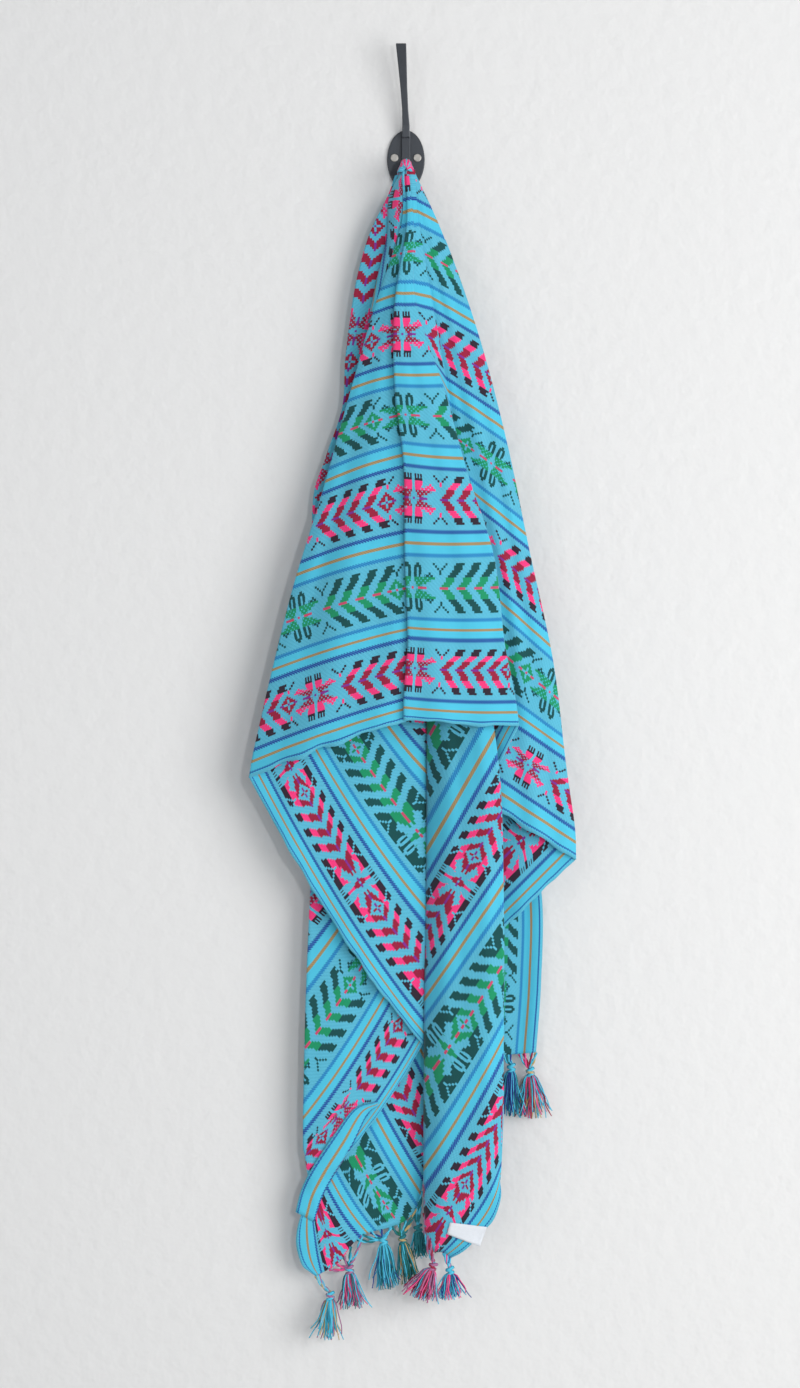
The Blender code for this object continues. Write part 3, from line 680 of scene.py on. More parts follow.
@dataclass
class Chain:
    """Cloth that runs on through several folds, as one mesh with a wall."""

    name: str
    panels: list[Panel]
    nodes: tuple[str, ...]
    row_step: float = 4.2
    flip: bool = False
    radius: float = FOLD_RADIUS
    slot: str = "cloth_front"
    lead: float = 0.0             # a hidden leg before the first panel, in millimetres
    sense: int = 1                # the way that the pattern runs on

    def radius_at(self, t: float) -> float:
        """Return the folds' radius on a row, smaller where the rows are short."""
        shortest = min(panel.span(t)[3] for panel in self.panels if t <= panel.rows + 1e-6)
        return min(self.radius, 0.1 * shortest)

    def arc(self, panel: Panel, t: float, radius: float) -> list[Vector]:
        """Return the points of the rounded fold at a panel's end.

        Args:
            panel: the panel that ends in the fold.
            t: the row's parameter.
            radius: the fold's radius.

        Returns:
            The points between the panel and the next one.
        """
        _, b, way, _ = panel.span(t)
        centre = b - way * radius
        side = panel.end_side
        return [centre + way * radius * math.sin(math.pi * k / FOLD_STEPS)
                + Vector((0, side * radius * math.cos(math.pi * k / FOLD_STEPS), 0))
                for k in range(1, FOLD_STEPS)]

    def build(self) -> bpy.types.Object:
        """Make the mesh, its coordinates and its wall, and put it in for the CAD nodes.

        Returns:
            The cloth object.
        """
        top = max(panel.rows for panel in self.panels)
        steps = []
        t = 0.0
        while t < top - 1e-6:
            steps.append(t)
            height = STRIPES[min(int(t) + 1, 9)] - STRIPES[min(int(t), 8)]
            t += self.row_step / max(height, 20.0)
        steps.append(top)
        points: list[Vector] = []
        places_in: list[tuple[float, float]] = []
        places_out: list[tuple[float, float]] = []
        limits: list[float] = []
        across = 0
        for t in steps:
            radius = self.radius_at(t)
            first = len(points)
            for i, panel in enumerate(self.panels):
                t_in = min(t, panel.rows)
                row = panel.row(t_in, radius)
                last = places_out[-1][0] if i else 0.0
                here = panel.coordinates(row, t_in, last, self.sense)
                enter = [(last + self.sense * radius, here[0][1])] + here[1:] if i else list(here)
                if i == 0 and self.lead:
                    hidden = self.lead_points(panel, row, radius)
                    row = hidden + row
                    here = [here[0]] * len(hidden) + here
                    enter = list(here)
                points.extend(row)
                places_in.extend(enter)
                places_out.extend(here)
                limits.extend([panel.rows] * len(row))
                if i < len(self.panels) - 1:
                    place, height = places_out[-1]
                    bend = self.arc(panel, t_in, radius)
                    shifted = [(place + self.sense * (k + 1) * radius, height) for k in range(len(bend))]
                    points.extend(bend)
                    places_in.extend(shifted)
                    places_out.extend(shifted)
                    limits.extend([min(panel.rows, self.panels[i + 1].rows)] * len(bend))
            across = len(points) - first
        faces, corners = [], []
        for r in range(len(steps) - 1):
            for c in range(across - 1):
                low, high = r * across + c, (r + 1) * across + c
                limit = min(limits[low], limits[low + 1])
                if steps[r + 1] > limit + 1e-6:
                    continue
                quad = ((low, places_out), (low + 1, places_in), (high + 1, places_in), (high, places_out))
                if self.flip:
                    quad = quad[::-1]
                faces.append(tuple(index for index, _ in quad))
                corners.extend(table[index] for index, table in quad)
        return dress_cloth(self.name, points, faces, corners, self.nodes)

    def lead_points(self, panel: Panel, row: list[Vector], radius: float) -> list[Vector]:
        """Return the hidden leg and the rounded edge that come before the first panel's row.

        Args:
            panel: the first panel.
            row: its points.
            radius: the fold's radius.

        Returns:
            The points to put before the row.
        """
        _, _, way, _ = panel.span(0.0)
        first = row[0] - Vector((0, radius * panel.start_side, 0))
        behind = [first + way * (self.lead * k / 2) + Vector((0, radius, 0)) for k in (2, 1, 0)]
        turn = [first - way * radius * math.sin(math.pi * k / FOLD_STEPS)
                + Vector((0, radius * math.cos(math.pi * k / FOLD_STEPS), 0)) for k in range(1, FOLD_STEPS)]
        return behind + turn


def dress_cloth(name: str, points: list[Vector], faces: list[tuple[int, ...]],
                corners: list[tuple[float, float]], nodes: Iterable[str],
                wall: float = CLOTH_WALL) -> bpy.types.Object:
    """Make a cloth object from points in millimetres, with both faces of the brocade.

    Args:
        name: The object's name.
        points: The middle of the cloth's wall.
        faces: The faces, seen from the right side of the cloth.
        corners: The cloth's own coordinates, in millimetres, of each face's corners in turn.
        nodes: The CAD nodes that it stands for.
        wall: The wall's thickness in millimetres.

    Returns:
        The object.
    """
    mesh = bpy.data.meshes.new(name)
    mesh.from_pydata([point * MM for point in points], [], faces)
    layer = mesh.uv_layers.new(name="Cloth")
    flat = [value * MM for corner in corners for value in corner]
    layer.data.foreach_set("uv", flat)
    made = bpy.data.objects.new(name, mesh)
    bpy.context.scene.collection.objects.link(made)
    mesh.materials.append(RIGHT_FACE.material())
    mesh.materials.append(REVERSE_FACE.material())
    solid = made.modifiers.new("Wall", "SOLIDIFY")
    solid.thickness = wall * MM
    solid.offset = 0.0
    solid.material_offset = 1
    mesh.shade_smooth()
    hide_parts(*nodes)
    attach(made, "root")
    area = sum(polygon.area for polygon in mesh.polygons)
    LOG.info("%s: %d faces, %.1f square centimetres", name, len(faces), area * 1e4)
    return made


def grid_faces(rows: int, across: int, flip: bool = False) -> list[tuple[int, ...]]:
    """Return the faces of a grid whose points run row by row."""
    faces = [(r * across + c, r * across + c + 1, (r + 1) * across + c + 1, (r + 1) * across + c)
             for r in range(rows - 1) for c in range(across - 1)]
    return [face[::-1] for face in faces] if flip else faces


def panel_from(name: str, start: str, end: str, **more: object) -> Panel:
    """Return a stretch between two named fold lines."""
    return Panel(name, line_points(FOLD_LINES[start]), line_points(FOLD_LINES[end]), **more)


class FrontCloth:
    """The stretches that hang in front, in two runs that meet at the middle crease."""

    def right_run(self) -> Chain:
        """Return the run from the crease round the right side to the lower right column."""
        panels = [
            panel_from("front_right", "centre", "ridge", bow=0.05, sag=2, columns=34, start_side=-1,
                       end_side=-1, ripple=(2.0, 1.3, 0.6)),
            panel_from("front_turn", "ridge", "inner", columns=9, start_side=1, end_side=-1,
                       ripple=(1.0, 0.0, 0.0)),
            panel_from("right_flank", "inner", "right", bow=0.06, columns=34, start_side=1, end_side=-1,
                       ripple=(2.5, 1.3, 1.9)),
            panel_from("right_corner_reverse", "right", "corner", bow=0.02, columns=34, start_side=1,
                       end_side=1, rows=8.0, ripple=(2.0, 0.6, 0.3)),
            panel_from("right_inner", "corner", "column", bow=0.06, columns=12, start_side=-1,
                       end_side=1, rows=8.0, ripple=(1.0, 0.0, 0.0)),
            panel_from("right_reverse", "column", "valley", bow=0.07, columns=34, start_side=-1,
                       swing=(18, 7, 3, 3, 0, 0, 0, 0, 0), rows=8.0, ripple=(1.5, 1.3, 2.2), lip=5.0),
        ]
        for index, tuck in ((4, 1.5), (5, 4.5), (6, 6.0), (7, 5.0), (8, 1.0)):
            panels[-1].end[index].x -= tuck
        return Chain("cloth_right_run", panels, ("front_right", "front_turn", "right_flank",
                     "right_corner_reverse", "right_inner", "right_reverse"), lead=9.0)

    def left_run(self) -> Chain:
        """Return the run from behind the crease round the left side to the first end."""
        behind = [point + Vector((6, 6.4, 0)) for point in line_points(FOLD_LINES["centre"])]
        behind[-1] = behind[-1] - Vector((5, 4, 0))
        behind[-2] = behind[-2] - Vector((2, 2, 0))
        panels = [
            Panel("front_left", behind, line_points(FOLD_LINES["left"]), bow=0.07, sag=-3, columns=36,
                  end_side=-1, ripple=(2.0, 1.6, 2.8)),
            panel_from("left_reverse", "left", "left_valley", bow=0.02, sag=15, columns=36, start_side=1,
                       end_side=-1, rows=8.0, ripple=(2.5, 1.1, 0.9), lip=5.0),
            panel_from("lower_left", "left_valley", "left_low", bow=0.01, sag=12, columns=34,
                       start_side=1, end_side=-1, rows=8.0, ripple=(2.0, 0.7, 0.2)),
            panel_from("end_reverse", "left_low", "end", bow=0.01, sag=12, columns=34, start_side=1,
                       swing=(-18, 0, 0, 0, 0, 0, 0, 0, 0), rows=8.0, ripple=(2.0, 0.6, 1.2)),
        ]
        return Chain("cloth_left_run", panels, ("front_left", "left_reverse", "lower_left",
                     "end_reverse"), flip=True, sense=-1)


@dataclass
class WallCloth:
    """The ridge, the flank and the two back stretches, between the front and the wall."""

    ridge_left: list[Row] = field(default_factory=lambda: [
        (-5, -30, -13), (-16, -26, -39), (-18, -26, -77), (-25, -26.5, -107), (-35, -27.5, -152)])
    ridge_right: list[Row] = field(default_factory=lambda: [
        (-1, -42.4, -13), (-1.5, -41.8, -46), (-3, -39, -69), (-15, -39.5, -107), (-31, -40, -153)])
    flank_left: list[Row] = field(default_factory=lambda: [
        (-10, -22, -15), (-18, -22, -37), (-35, -22, -72), (-46, -22, -108), (-53, -22, -144),
        (-60, -22, -200), (-63, -22, -248), (-80, -22, -299), (-93, -22, -349),
        (-88, -22, -470), (-86, -22, -640), (-86, -22, -800), (-82, -22, -948)])
    flank_right: list[Row] = field(default_factory=lambda: [
        (-5.2, -22, -13), (-9, -22, -37), (-17, -22, -72), (-23, -22, -108), (-28, -22, -144),
        (-36, -22, -200), (-42, -22, -248), (-50, -22, -299), (-56, -22, -349),
        (-52, -22, -470), (-46, -22, -640), (-42, -22, -800), (-40, -22, -955)])
    back_left_right: list[Row] = field(default_factory=lambda: [
        (-2, -11, -18), (0, -11, -37), (0, -10, -72), (-1, -10, -108), (-2, -9, -144),
        (-3, -9, -200), (-1, -9, -248), (2, -9, -299), (5, -9, -349),
        (12, -9, -470), (20, -9, -640), (26, -8, -800), (28, -8, -958)])
    back_right_left: list[Row] = field(default_factory=lambda: [
        (0.6, -12, -37), (2, -14, -80), (5, -15, -134), (8, -15, -300), (14, -15, -500),
        (22, -15, -650), (28, -15, -741), (32, -15, -827), (36, -15, -905)])
    back_right_right: list[Row] = field(default_factory=lambda: [
        (9, -13, -37), (22, -12, -80), (34, -12, -134), (62, -12, -300),
        (100, -12, -500), (124, -13, -650), (138, -14, -741), (137, -14, -827),
        (132, -14, -897)])
    wave: float = 2.2
    bottoms: dict[str, list[Vector]] = field(default_factory=dict)

    def strip(self, name: str, left: list[Row], right: list[Row], columns: int,
              place: Callable[[Vector, float], tuple[float, float]], wave: float = 0.0,
              pleats: float = 0.0, bow: float = 0.0, inset: float = 0.0, flip: bool = False,
              step: float = 6.0) -> bpy.types.Object:
        """Build an upright stretch between two edges that run down from the hook.

        Args:
            name: The CAD node that it stands for.
            left: The left edge's points.
            right: The right edge's points.
            columns: How many columns of faces lie between the edges.
            place: The cloth's coordinates from a point and its share of the width.
            wave: The pleats' depth each way.
            pleats: How many pleats the width has.
            bow: The forward bulge as a share of the width.
            inset: A shift towards the wall.
            flip: Whether the right face looks at the wall.
            step: The height of a row of faces.

        Returns:
            The object.
        """
        first, second = line_points(left), line_points(right)
        count = max(8, int((first[0] - first[-1]).length / step))
        points, places = [], []
        for r in range(count + 1):
            t = (len(first) - 1) * r / count
            a, b = curve_point(first, t), curve_point(second, t)
            length = (b - a).length
            for c in range(columns + 1):
                s = c / columns
                calm = min(1.0, length / 60.0, 8 * s, 8 * (1 - s))
                depth = wave * calm * math.sin(2 * math.pi * pleats * s + 0.15 * t)
                hump = 4 * s * (1 - s)
                point = a.lerp(b, s) + Vector((0, depth - bow * length * hump + inset, 0))
                points.append(point)
                places.append(place(point, s))
        faces = grid_faces(count + 1, columns + 1, flip=not flip)
        corners = [places[index] for face in faces for index in face]
        self.bottoms[name] = points[-(columns + 1):]
        made = dress_cloth(f"cloth_{name}", points, faces, corners, (name,))
        return made

    def build(self) -> list[bpy.types.Object]:
        """Build the ridge and flank by the hook and the two back stretches.

        Returns:
            The four objects.
        """
        middle = [(-15, 376), (-93, 376), (-112, 370), (-128, 366), (-147, 363.5), (-177, 356), (-213, 349),
                  (-233, 347), (-340, 325), (-600, 330)]

        def on_flank(point: Vector, s: float) -> tuple[float, float]:
            """Return the coordinates on the flank, whose middle band hangs straight down."""
            centre = piecewise([(-z, x) for z, x in middle], -point.z) - 405.0
            return point.z + 40.0, 551.0 - (point.x - centre)

        def on_ridge(point: Vector, s: float) -> tuple[float, float]:
            """Return the coordinates on the ridge beside the front."""
            down = min(1.0, max(0.0, (-point.z - 60.0) / 95.0))
            return point.z + 45.0, lerp(lerp(528.0, 504.0, down), lerp(552.0, 521.0, down), s)

        def on_back_left(point: Vector, s: float) -> tuple[float, float]:
            """Return the coordinates on the left part of the back."""
            return point.z + 40.0, 572.0 + s * 95.0

        def on_back_right(point: Vector, s: float) -> tuple[float, float]:
            """Return the coordinates on the right part of the back and on the tail."""
            right = curve_point(line_points(self.back_right_right), self.parameter(point.z))
            return -point.z - 853.0, CLOTH_WIDTH - (right.x - point.x) * 1.35

        return [
            self.strip("left_ridge", self.ridge_left, self.ridge_right, 8, on_ridge, bow=0.3, step=4.0),
            self.strip("left_flank", self.flank_left, self.flank_right, 14, on_flank, bow=0.05,
                       inset=-1.3),
            self.strip("back_left", self.flank_left[1:], self.back_left_right[1:], 44, on_back_left,
                       wave=self.wave, pleats=3.0, inset=0.9, flip=True),
            self.strip("back_right", self.back_right_left, self.back_right_right, 40, on_back_right,
                       wave=self.wave, pleats=2.5),
        ]

    def parameter(self, z: float) -> float:
        """Return the right back edge's parameter at height z."""
        heights = [row[2] - CLOTH_DROP for row in self.back_right_right]
        return piecewise([(-h, i) for i, h in enumerate(heights)], -z)


@dataclass
class Roll:
    """The edge strip that is turned over in front of the lower left."""

    edge: list[Row] = field(default_factory=lambda: [
        (-28, 0, -945), (-51, 0, -952), (-72, 0, -979), (-93, 0, -1011), (-104, 0, -1033),
        (-110, 0, -1056)])
    fold: list[Row] = field(default_factory=lambda: [
        (-26, 0, -948), (-38, 0, -958), (-53, 0, -989), (-72, 0, -1020), (-84, 0, -1043),
        (-91, 0, -1066)])
    stand: float = 2.4
    crown: float = 1.4
    settle_from: float = 3.6      # the row from which it lies closer to the cloth
    settle_rows: float = 1.4
    low_stand: float = 1.2
    row_pitch: float = 5.0        # pattern millimetres from row to row
    strip_from: float = 2.0       # pattern millimetres of its first edge
    strip_width: float = 25.0

    def build(self, cloth: bpy.types.Object) -> bpy.types.Object:
        """Lay the strip on the stretch below it.

        Args:
            cloth: The run that the strip lies on.

        Returns:
            The strip.
        """
        tree = BVHTree.FromPolygons([v.co / MM for v in cloth.data.vertices],
                                    [tuple(p.vertices) for p in cloth.data.polygons])
        first, second = line_points(self.edge), line_points(self.fold)
        points, places = [], []
        count, columns = 24, 8
        for r in range(count + 1):
            t = (len(first) - 1) * r / count
            a, b = curve_point(first, t), curve_point(second, t)
            for c in range(columns + 1):
                s = c / columns
                point = a.lerp(b, s)
                hit = tree.ray_cast(Vector((point.x, -300, point.z)), Vector((0, 1, 0)))[0]
                if hit is None:
                    hit = tree.find_nearest(Vector((point.x, -31, point.z)))[0]
                down = max(0.0, (t - self.settle_from) / self.settle_rows)
                stand = lerp(self.stand, self.low_stand, down)
                point.y = hit.y - stand - self.crown * (1 - down) * math.sin(math.pi * s)
                points.append(point)
                places.append((r * self.row_pitch, self.strip_from + self.strip_width * s))
        faces = grid_faces(count + 1, columns + 1)
        corners = [places[index] for face in faces for index in face]
        return dress_cloth("cloth_turned_edge", points, faces, corners, ("selvedge_roll",))


@dataclass
class Saddle:
    """The gathered cloth over the prong: depth, top, half width and foot of each section."""

    centre: float = 1.0
    steps: int = 16
    flare: float = 3.2
    flower_side: float = 537.0
    sections: list[tuple[float, float, float, float]] = field(default_factory=lambda: [
        (-48.2, -15.0, 0.6, -18.2), (-48.0, -11.8, 2.4, -18.2), (-47.2, -9.0, 3.9, -18.2),
        (-45.4, -7.0, 4.8, -18.2), (-42.0, -5.4, 5.1, -17.6), (-36.0, -5.0, 5.1, -16.8),
        (-28.0, -8.0, 5.0, -18.0), (-20.0, -11.5, 4.9, -20.0)])

    def build(self) -> bpy.types.Object:
        """Build the arch over the prong, closed at the front.

        Returns:
            The saddle.
        """
        points, places = [], []
        rows = line_like(self.sections, 4)
        for y, top, half, foot in rows:
            arch = [(self.centre - half - self.flare, foot)]
            for k in range(self.steps + 1):
                angle = math.pi * k / self.steps
                arch.append((self.centre - half * math.cos(angle), top + half * (math.sin(angle) - 1)))
            arch.append((self.centre + half + self.flare, foot))
            for k, (x, z) in enumerate(arch):
                pleat = 0.35 * math.sin(2.2 * k + 0.3 * y)
                points.append(Vector((x + pleat * 0.5, y, z + pleat)))
                places.append(((k - len(arch) / 2) * 2.4, self.flower_side + (y + 50.0)))
        across = self.steps + 3
        faces = grid_faces(len(rows), across)
        corners = [places[index] for face in faces for index in face]
        return dress_cloth("cloth_saddle", points, faces, corners, ("hook_saddle",))


def line_like(rows: Sequence[Sequence[float]], steps: int) -> list[list[float]]:
    """Return rows of numbers with that many smooth steps from each to the next.

    Args:
        rows: rows of equal length.
        steps: steps from each row to the next.

    Returns:
        The rows given, with the rows between them.
    """
    made = []
    for i in range((len(rows) - 1) * steps + 1):
        k = min(i // steps, len(rows) - 2)
        t = i / steps - k
        made.append([lerp(a, b, t) for a, b in zip(rows[k], rows[k + 1])])
    return made


# ---------------------------------------------------------------- tassels
class Yarn:
    """Collects tubes of yarn of several colours into one mesh."""

    def __init__(self) -> None:
        """Start with nothing."""
        self.points: list[Vector] = []
        self.faces: list[tuple[int, ...]] = []
        self.colours: list[str] = []
        self.owners: list[int] = []

    def tube(self, path: Sequence[Vector], radius: float, colour: str, sides: int = 5,
             taper: float = 1.0) -> None:
        """Add a tube along a path.

        Args:
            path: The points of its middle, in millimetres.
            radius: Its radius at the start.
            colour: The yarn's name.
            sides: How many sides it has.
            taper: The share of the radius that is left at the end.
        """
        if colour not in self.colours:
            self.colours.append(colour)
        owner = self.colours.index(colour)
        base = len(self.points)
        for i, point in enumerate(path):
            ahead = path[min(i + 1, len(path) - 1)] - path[max(i - 1, 0)]
            run = ahead.normalized() if ahead.length > 1e-6 else Vector((0, 0, -1))
            side = Vector((0.31, 0.93, 0.2)).cross(run).normalized()
            other = run.cross(side)
            here = radius * lerp(1.0, taper, i / (len(path) - 1))
            for k in range(sides):
                angle = 2 * math.pi * k / sides
                self.points.append(point + (side * math.cos(angle) + other * math.sin(angle)) * here)
        for i in range(len(path) - 1):
            for k in range(sides):
                a, b = base + i * sides + k, base + i * sides + (k + 1) % sides
                self.faces.append((a, b, b + sides, a + sides))
                self.owners.append(owner)
        last = base + (len(path) - 1) * sides
        self.faces.append(tuple(base + k for k in reversed(range(sides))))
        self.faces.append(tuple(last + k for k in range(sides)))
        self.owners.extend((owner, owner))

    def make(self, name: str) -> bpy.types.Object:
        """Return the yarns as one object.

        Args:
            name: the object's name.

        Returns:
            The object.
        """
        mesh = bpy.data.meshes.new(name)
        mesh.from_pydata([point * MM for point in self.points], [], self.faces)
        for colour in self.colours:
            mesh.materials.append(YARNS[colour].material())
        mesh.polygons.foreach_set("material_index", self.owners)
        mesh.shade_smooth()
        made = bpy.data.objects.new(name, mesh)
        bpy.context.scene.collection.objects.link(made)
        return made


@dataclass
class Tassel:
    """A tassel: legs twisted from the cloth's warp, a knot, and loose strands below it."""

    node: str
    seats: list[Vector]
    knot: Vector
    tips: Vector
    spread: float
    yarns: tuple[str, ...]
    slot: str
    strands: int = 64
    leg_radius: float = 1.0
    knot_radius: float = 4.2
    strand_radius: float = 0.68
    droop: float = 0.12
    wall_clearance: float = 0.9   # strands that would pass the wall lie on it
    leg_steps: int = 18
    leg_twist: float = 0.42       # radians of twist for each millimetre of a leg

    def leg(self, yarn: Yarn, seat: Vector, colour_a: str, colour_b: str) -> None:
        """Twist two cords from a seat on the cloth to the knot.

        Args:
            yarn: takes up the cords.
            seat: where they leave the cloth.
            colour_a: the first cord's yarn.
            colour_b: the second cord's yarn.
        """
        line = self.knot - seat
        side = line.cross(Vector((0, 1, 0))).normalized()
        other = line.cross(side).normalized()
        for phase, colour in ((0.0, colour_a), (math.pi, colour_b)):
            path = []
            for i in range(self.leg_steps + 1):
                t = i / self.leg_steps
                angle = phase + t * line.length * self.leg_twist
                droop = Vector((0, 0, -self.droop * line.length * math.sin(math.pi * t)))
                path.append(seat + line * t + droop
                            + (side * math.cos(angle) + other * math.sin(angle)) * self.leg_radius * 0.85)
            yarn.tube(path, self.leg_radius, colour)

    def wrap(self, yarn: Yarn, fall: Vector) -> None:
        """Wind the knot round the head of the tassel.

        Args:
            yarn: takes up the winding.
            fall: the way that the tassel hangs.
        """
        side = fall.cross(Vector((0, 1, 0))).normalized()
        other = fall.cross(side).normalized()
        for turn, colour in enumerate((self.yarns[0], self.yarns[-1], self.yarns[0])):
            path = []
            tilt = 0.35 * (1 if turn % 2 else -1)
            for i in range(15):
                angle = 2 * math.pi * i / 14
                lift = tilt * math.cos(angle) * self.knot_radius
                path.append(self.knot + fall * (1.5 + 2.4 * turn + lift)
                            + (side * math.cos(angle) + other * math.sin(angle)) * self.knot_radius * 0.72)
            yarn.tube(path, 1.7, colour, sides=6)

    def build(self) -> bpy.types.Object:
        """Build the tassel in place of its CAD node.

        Returns:
            The tassel.
        """
        rng = random.Random(self.node)
        fall = (self.tips - self.knot).normalized()
        reach = (self.tips - self.knot).length
        side = fall.cross(Vector((0, 1, 0))).normalized()
        other = fall.cross(side).normalized()
        yarn = Yarn()
        for index, seat in enumerate(self.seats):
            pair = index % len(self.yarns), (index + 1) % len(self.yarns)
            self.leg(yarn, seat, self.yarns[pair[0]], self.yarns[pair[1]])
        self.wrap(yarn, fall)
        base = self.knot + fall * 6.0
        for index in range(self.strands):
            angle = rng.uniform(0, 2 * math.pi)
            out = math.sqrt(rng.random()) * self.knot_radius * 0.75
            start = base + (side * math.cos(angle) + other * math.sin(angle)) * out
            fan = self.spread * out * rng.uniform(0.7, 1.5)
            length = (reach - 6.0) * rng.uniform(0.7, 1.0)
            curl = rng.uniform(0.4, 2.0)
            phase = rng.uniform(0, 6.3)
            stray = rng.random() < 0.22
            path = []
            for i in range(9):
                t = i / 8
                flare = fan * t ** 0.5 + (9.0 * t * t if stray else 0.0)
                point = start + fall * length * t
                point += (side * math.cos(angle) + other * 0.7 * math.sin(angle)) * flare
                point += side * curl * math.sin(phase + 7.0 * t) * t
                point += other * curl * math.cos(phase + 6.0 * t) * t
                point.y = min(point.y, -self.wall_clearance)
                path.append(point)
            yarn.tube(path, self.strand_radius, self.yarns[index % len(self.yarns)], sides=4, taper=0.75)
        made = yarn.make(f"yarn_{self.node}")
        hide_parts(self.node)
        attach(made, "root")
        return made


# Tassels: line or bottom edge that carries it, places along it, knot, tips, spread, and its yarns
BLUE = ("turquoise", "teal", "turquoise", "navy", "turquoise")
MAUVE = ("mauve", "pink", "turquoise", "mauve", "crimson")
TASSELS: dict[str, tuple[str, tuple[float, ...], Row, Row, float, tuple[str, ...], int]] = {
    "tassel_end1_corner": ("end", (0.1, 0.5), (-75, -27, -1137), (-76, -30, -1185), 2.6,
                           ("turquoise", "ochre", "turquoise", "turquoise", "mauve"), 84),
    "tassel_end1_pink": ("end", (1.6, 2.9), (-56, -25, -1111), (-52, -27, -1154), 2.2,
                         ("mauve", "pink", "mauve", "teal", "turquoise"), 70),
    "tassel_end1_blue": ("end", (3.0, 3.4), (-22, -24, -1082), (-17, -25, -1135), 2.2, BLUE, 72),
    "tassel_end1_green": ("end", (3.65, 3.85), (-3, -23, -1081), (5, -24, -1130), 2.0,
                          ("teal", "green", "turquoise", "teal", "ochre"), 64),
    "tassel_end1_teal": ("end", (4.05,), (13, -21, -1070), (14, -22, -1104), 1.6,
                         ("teal", "turquoise", "teal"), 40),
    "tassel_end2_pink": ("valley", (1.9, 2.9), (29, -43, -1106), (14, -43, -1143), 3.1, MAUVE, 96),
    "tassel_end2_blue": ("valley", (0.2, 0.8), (45, -34, -1111), (46, -34, -1144), 3.0,
                         ("turquoise", "navy", "turquoise", "pink", "turquoise"), 76),
    "tassel_tail_outer": ("back_right", (0.86, 0.97), (126, -14, -913), (128, -14, -964), 3.2,
                          ("turquoise", "pink", "crimson", "turquoise", "ochre"), 96),
    "tassel_tail_inner": ("back_right", (0.68,), (107, -14, -909), (107, -14, -962), 2.6, BLUE, 70),
    "tassel_back_1": ("back_left", (0.1,), (-74, -18, -964), (-72, -18, -1024), 1.8, BLUE, 40),
    "tassel_back_2": ("back_left", (0.31,), (-49, -14, -969), (-49, -14, -1030), 1.8, MAUVE, 40),
    "tassel_back_3": ("back_left", (0.52,), (-26, -10, -972), (-26, -10, -1030), 1.5, BLUE, 40),
    "tassel_back_4": ("back_right", (0.16,), (51, -14, -917), (51, -14, -976), 1.8, MAUVE, 40),
    "tassel_back_5": ("back_right", (0.42,), (76, -14, -915), (77, -14, -974), 1.8, BLUE, 40),
}


def build_tassels(bottoms: dict[str, list[Vector]]) -> dict[str, bpy.types.Object]:
    """Build every tassel from where it leaves the cloth.

    Args:
        bottoms: The lowest row of points of each back stretch.

    Returns:
        The tassels by node name.
    """
    drop = Vector((0, 0, -CLOTH_DROP))
    made = {}
    for node, (line, places, knot, tips, spread, yarns, strands) in TASSELS.items():
        first, last = min(places), max(places)
        if line in bottoms:
            row = bottoms[line]
            shares = [min(1.0, max(0.0, lerp(first - 0.04, last + 0.04, k / 3))) for k in range(4)]
            seats = [row[round(share * (len(row) - 1))].copy() for share in shares]
        else:
            edge = line_points(FOLD_LINES[line])
            seats = [curve_point(edge, max(0.05, lerp(first - 0.12, last + 0.12, k / 4))) for k in range(5)]
        kind = "yarn_pink" if "pink" in node else "yarn_green" if "green" in node else "yarn_blue"
        tassel = Tassel(node, seats, Vector(knot) + drop, Vector(tips) + drop, spread, yarns, kind, strands)
        made[node] = tassel.build()
        LOG.info("%s: %d strands", node, strands)
    return made


@dataclass
class CareLabel:
    """The blank label on the lower right corner."""

    corners: tuple[tuple[float, float], ...] = ((45, -1064), (82, -1069), (75, -1089), (42, -1076))
    stand: float = 1.7

    def build(self, cloth: bpy.types.Object) -> bpy.types.Object:
        """Lay the label on the column.

        Args:
            cloth: The run that it is sewn to.

        Returns:
            The label.
        """
        tree = BVHTree.FromPolygons([v.co / MM for v in cloth.data.vertices],
                                    [tuple(p.vertices) for p in cloth.data.polygons])
        (ax, az), (bx, bz), (cx, cz), (dx, dz) = self.corners
        points = []
        rows, columns = 8, 14
        for r in range(rows + 1):
            for c in range(columns + 1):
                s, t = c / columns, r / rows
                x = lerp(lerp(ax, bx, s), lerp(dx, cx, s), t)
                z = lerp(lerp(az, bz, s), lerp(dz, cz, s), t) - CLOTH_DROP
                hit = tree.ray_cast(Vector((x, -300, z)), Vector((0, 1, 0)))[0]
                if hit is None:
                    hit = tree.find_nearest(Vector((x, -45, z)))[0]
                lift = self.stand + 1.5 * t * math.sin(math.pi * s) ** 2
                points.append(Vector((x, hit.y - lift, z)) * MM)
        mesh = bpy.data.meshes.new("blank_label")
        mesh.from_pydata(points, [], grid_faces(rows + 1, columns + 1, flip=True))
        mesh.materials.append(LABEL_WHITE.material())
        mesh.shade_smooth()
        made = bpy.data.objects.new("blank_label", mesh)
        bpy.context.scene.collection.objects.link(made)
        solid = made.modifiers.new("Wall", "SOLIDIFY")
        solid.thickness = 0.4 * MM
        solid.offset = 0.0
        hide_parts("care_label")
        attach(made, "root")
        return made


class Hook:
    """The steel wall hook, whose CAD solids are dressed where they stand."""

    steel: tuple[str, ...] = ("hook_plate", "hook_arm", "hook_upper_prong", "hook_lower_prong")
    screws: tuple[str, ...] = ("screw_left", "screw_right")

    def dress(self) -> None:
        """Give the hook's solids their finishes."""
        for names, finish in ((self.steel, CHARCOAL), (self.screws, SCREW)):
            for name in names:
                piece = bpy.data.objects[name]
                piece.data.materials.clear()
                piece.data.materials.append(finish.material())
        LOG.info("hook: %d solids dressed", len(self.steel) + len(self.screws))


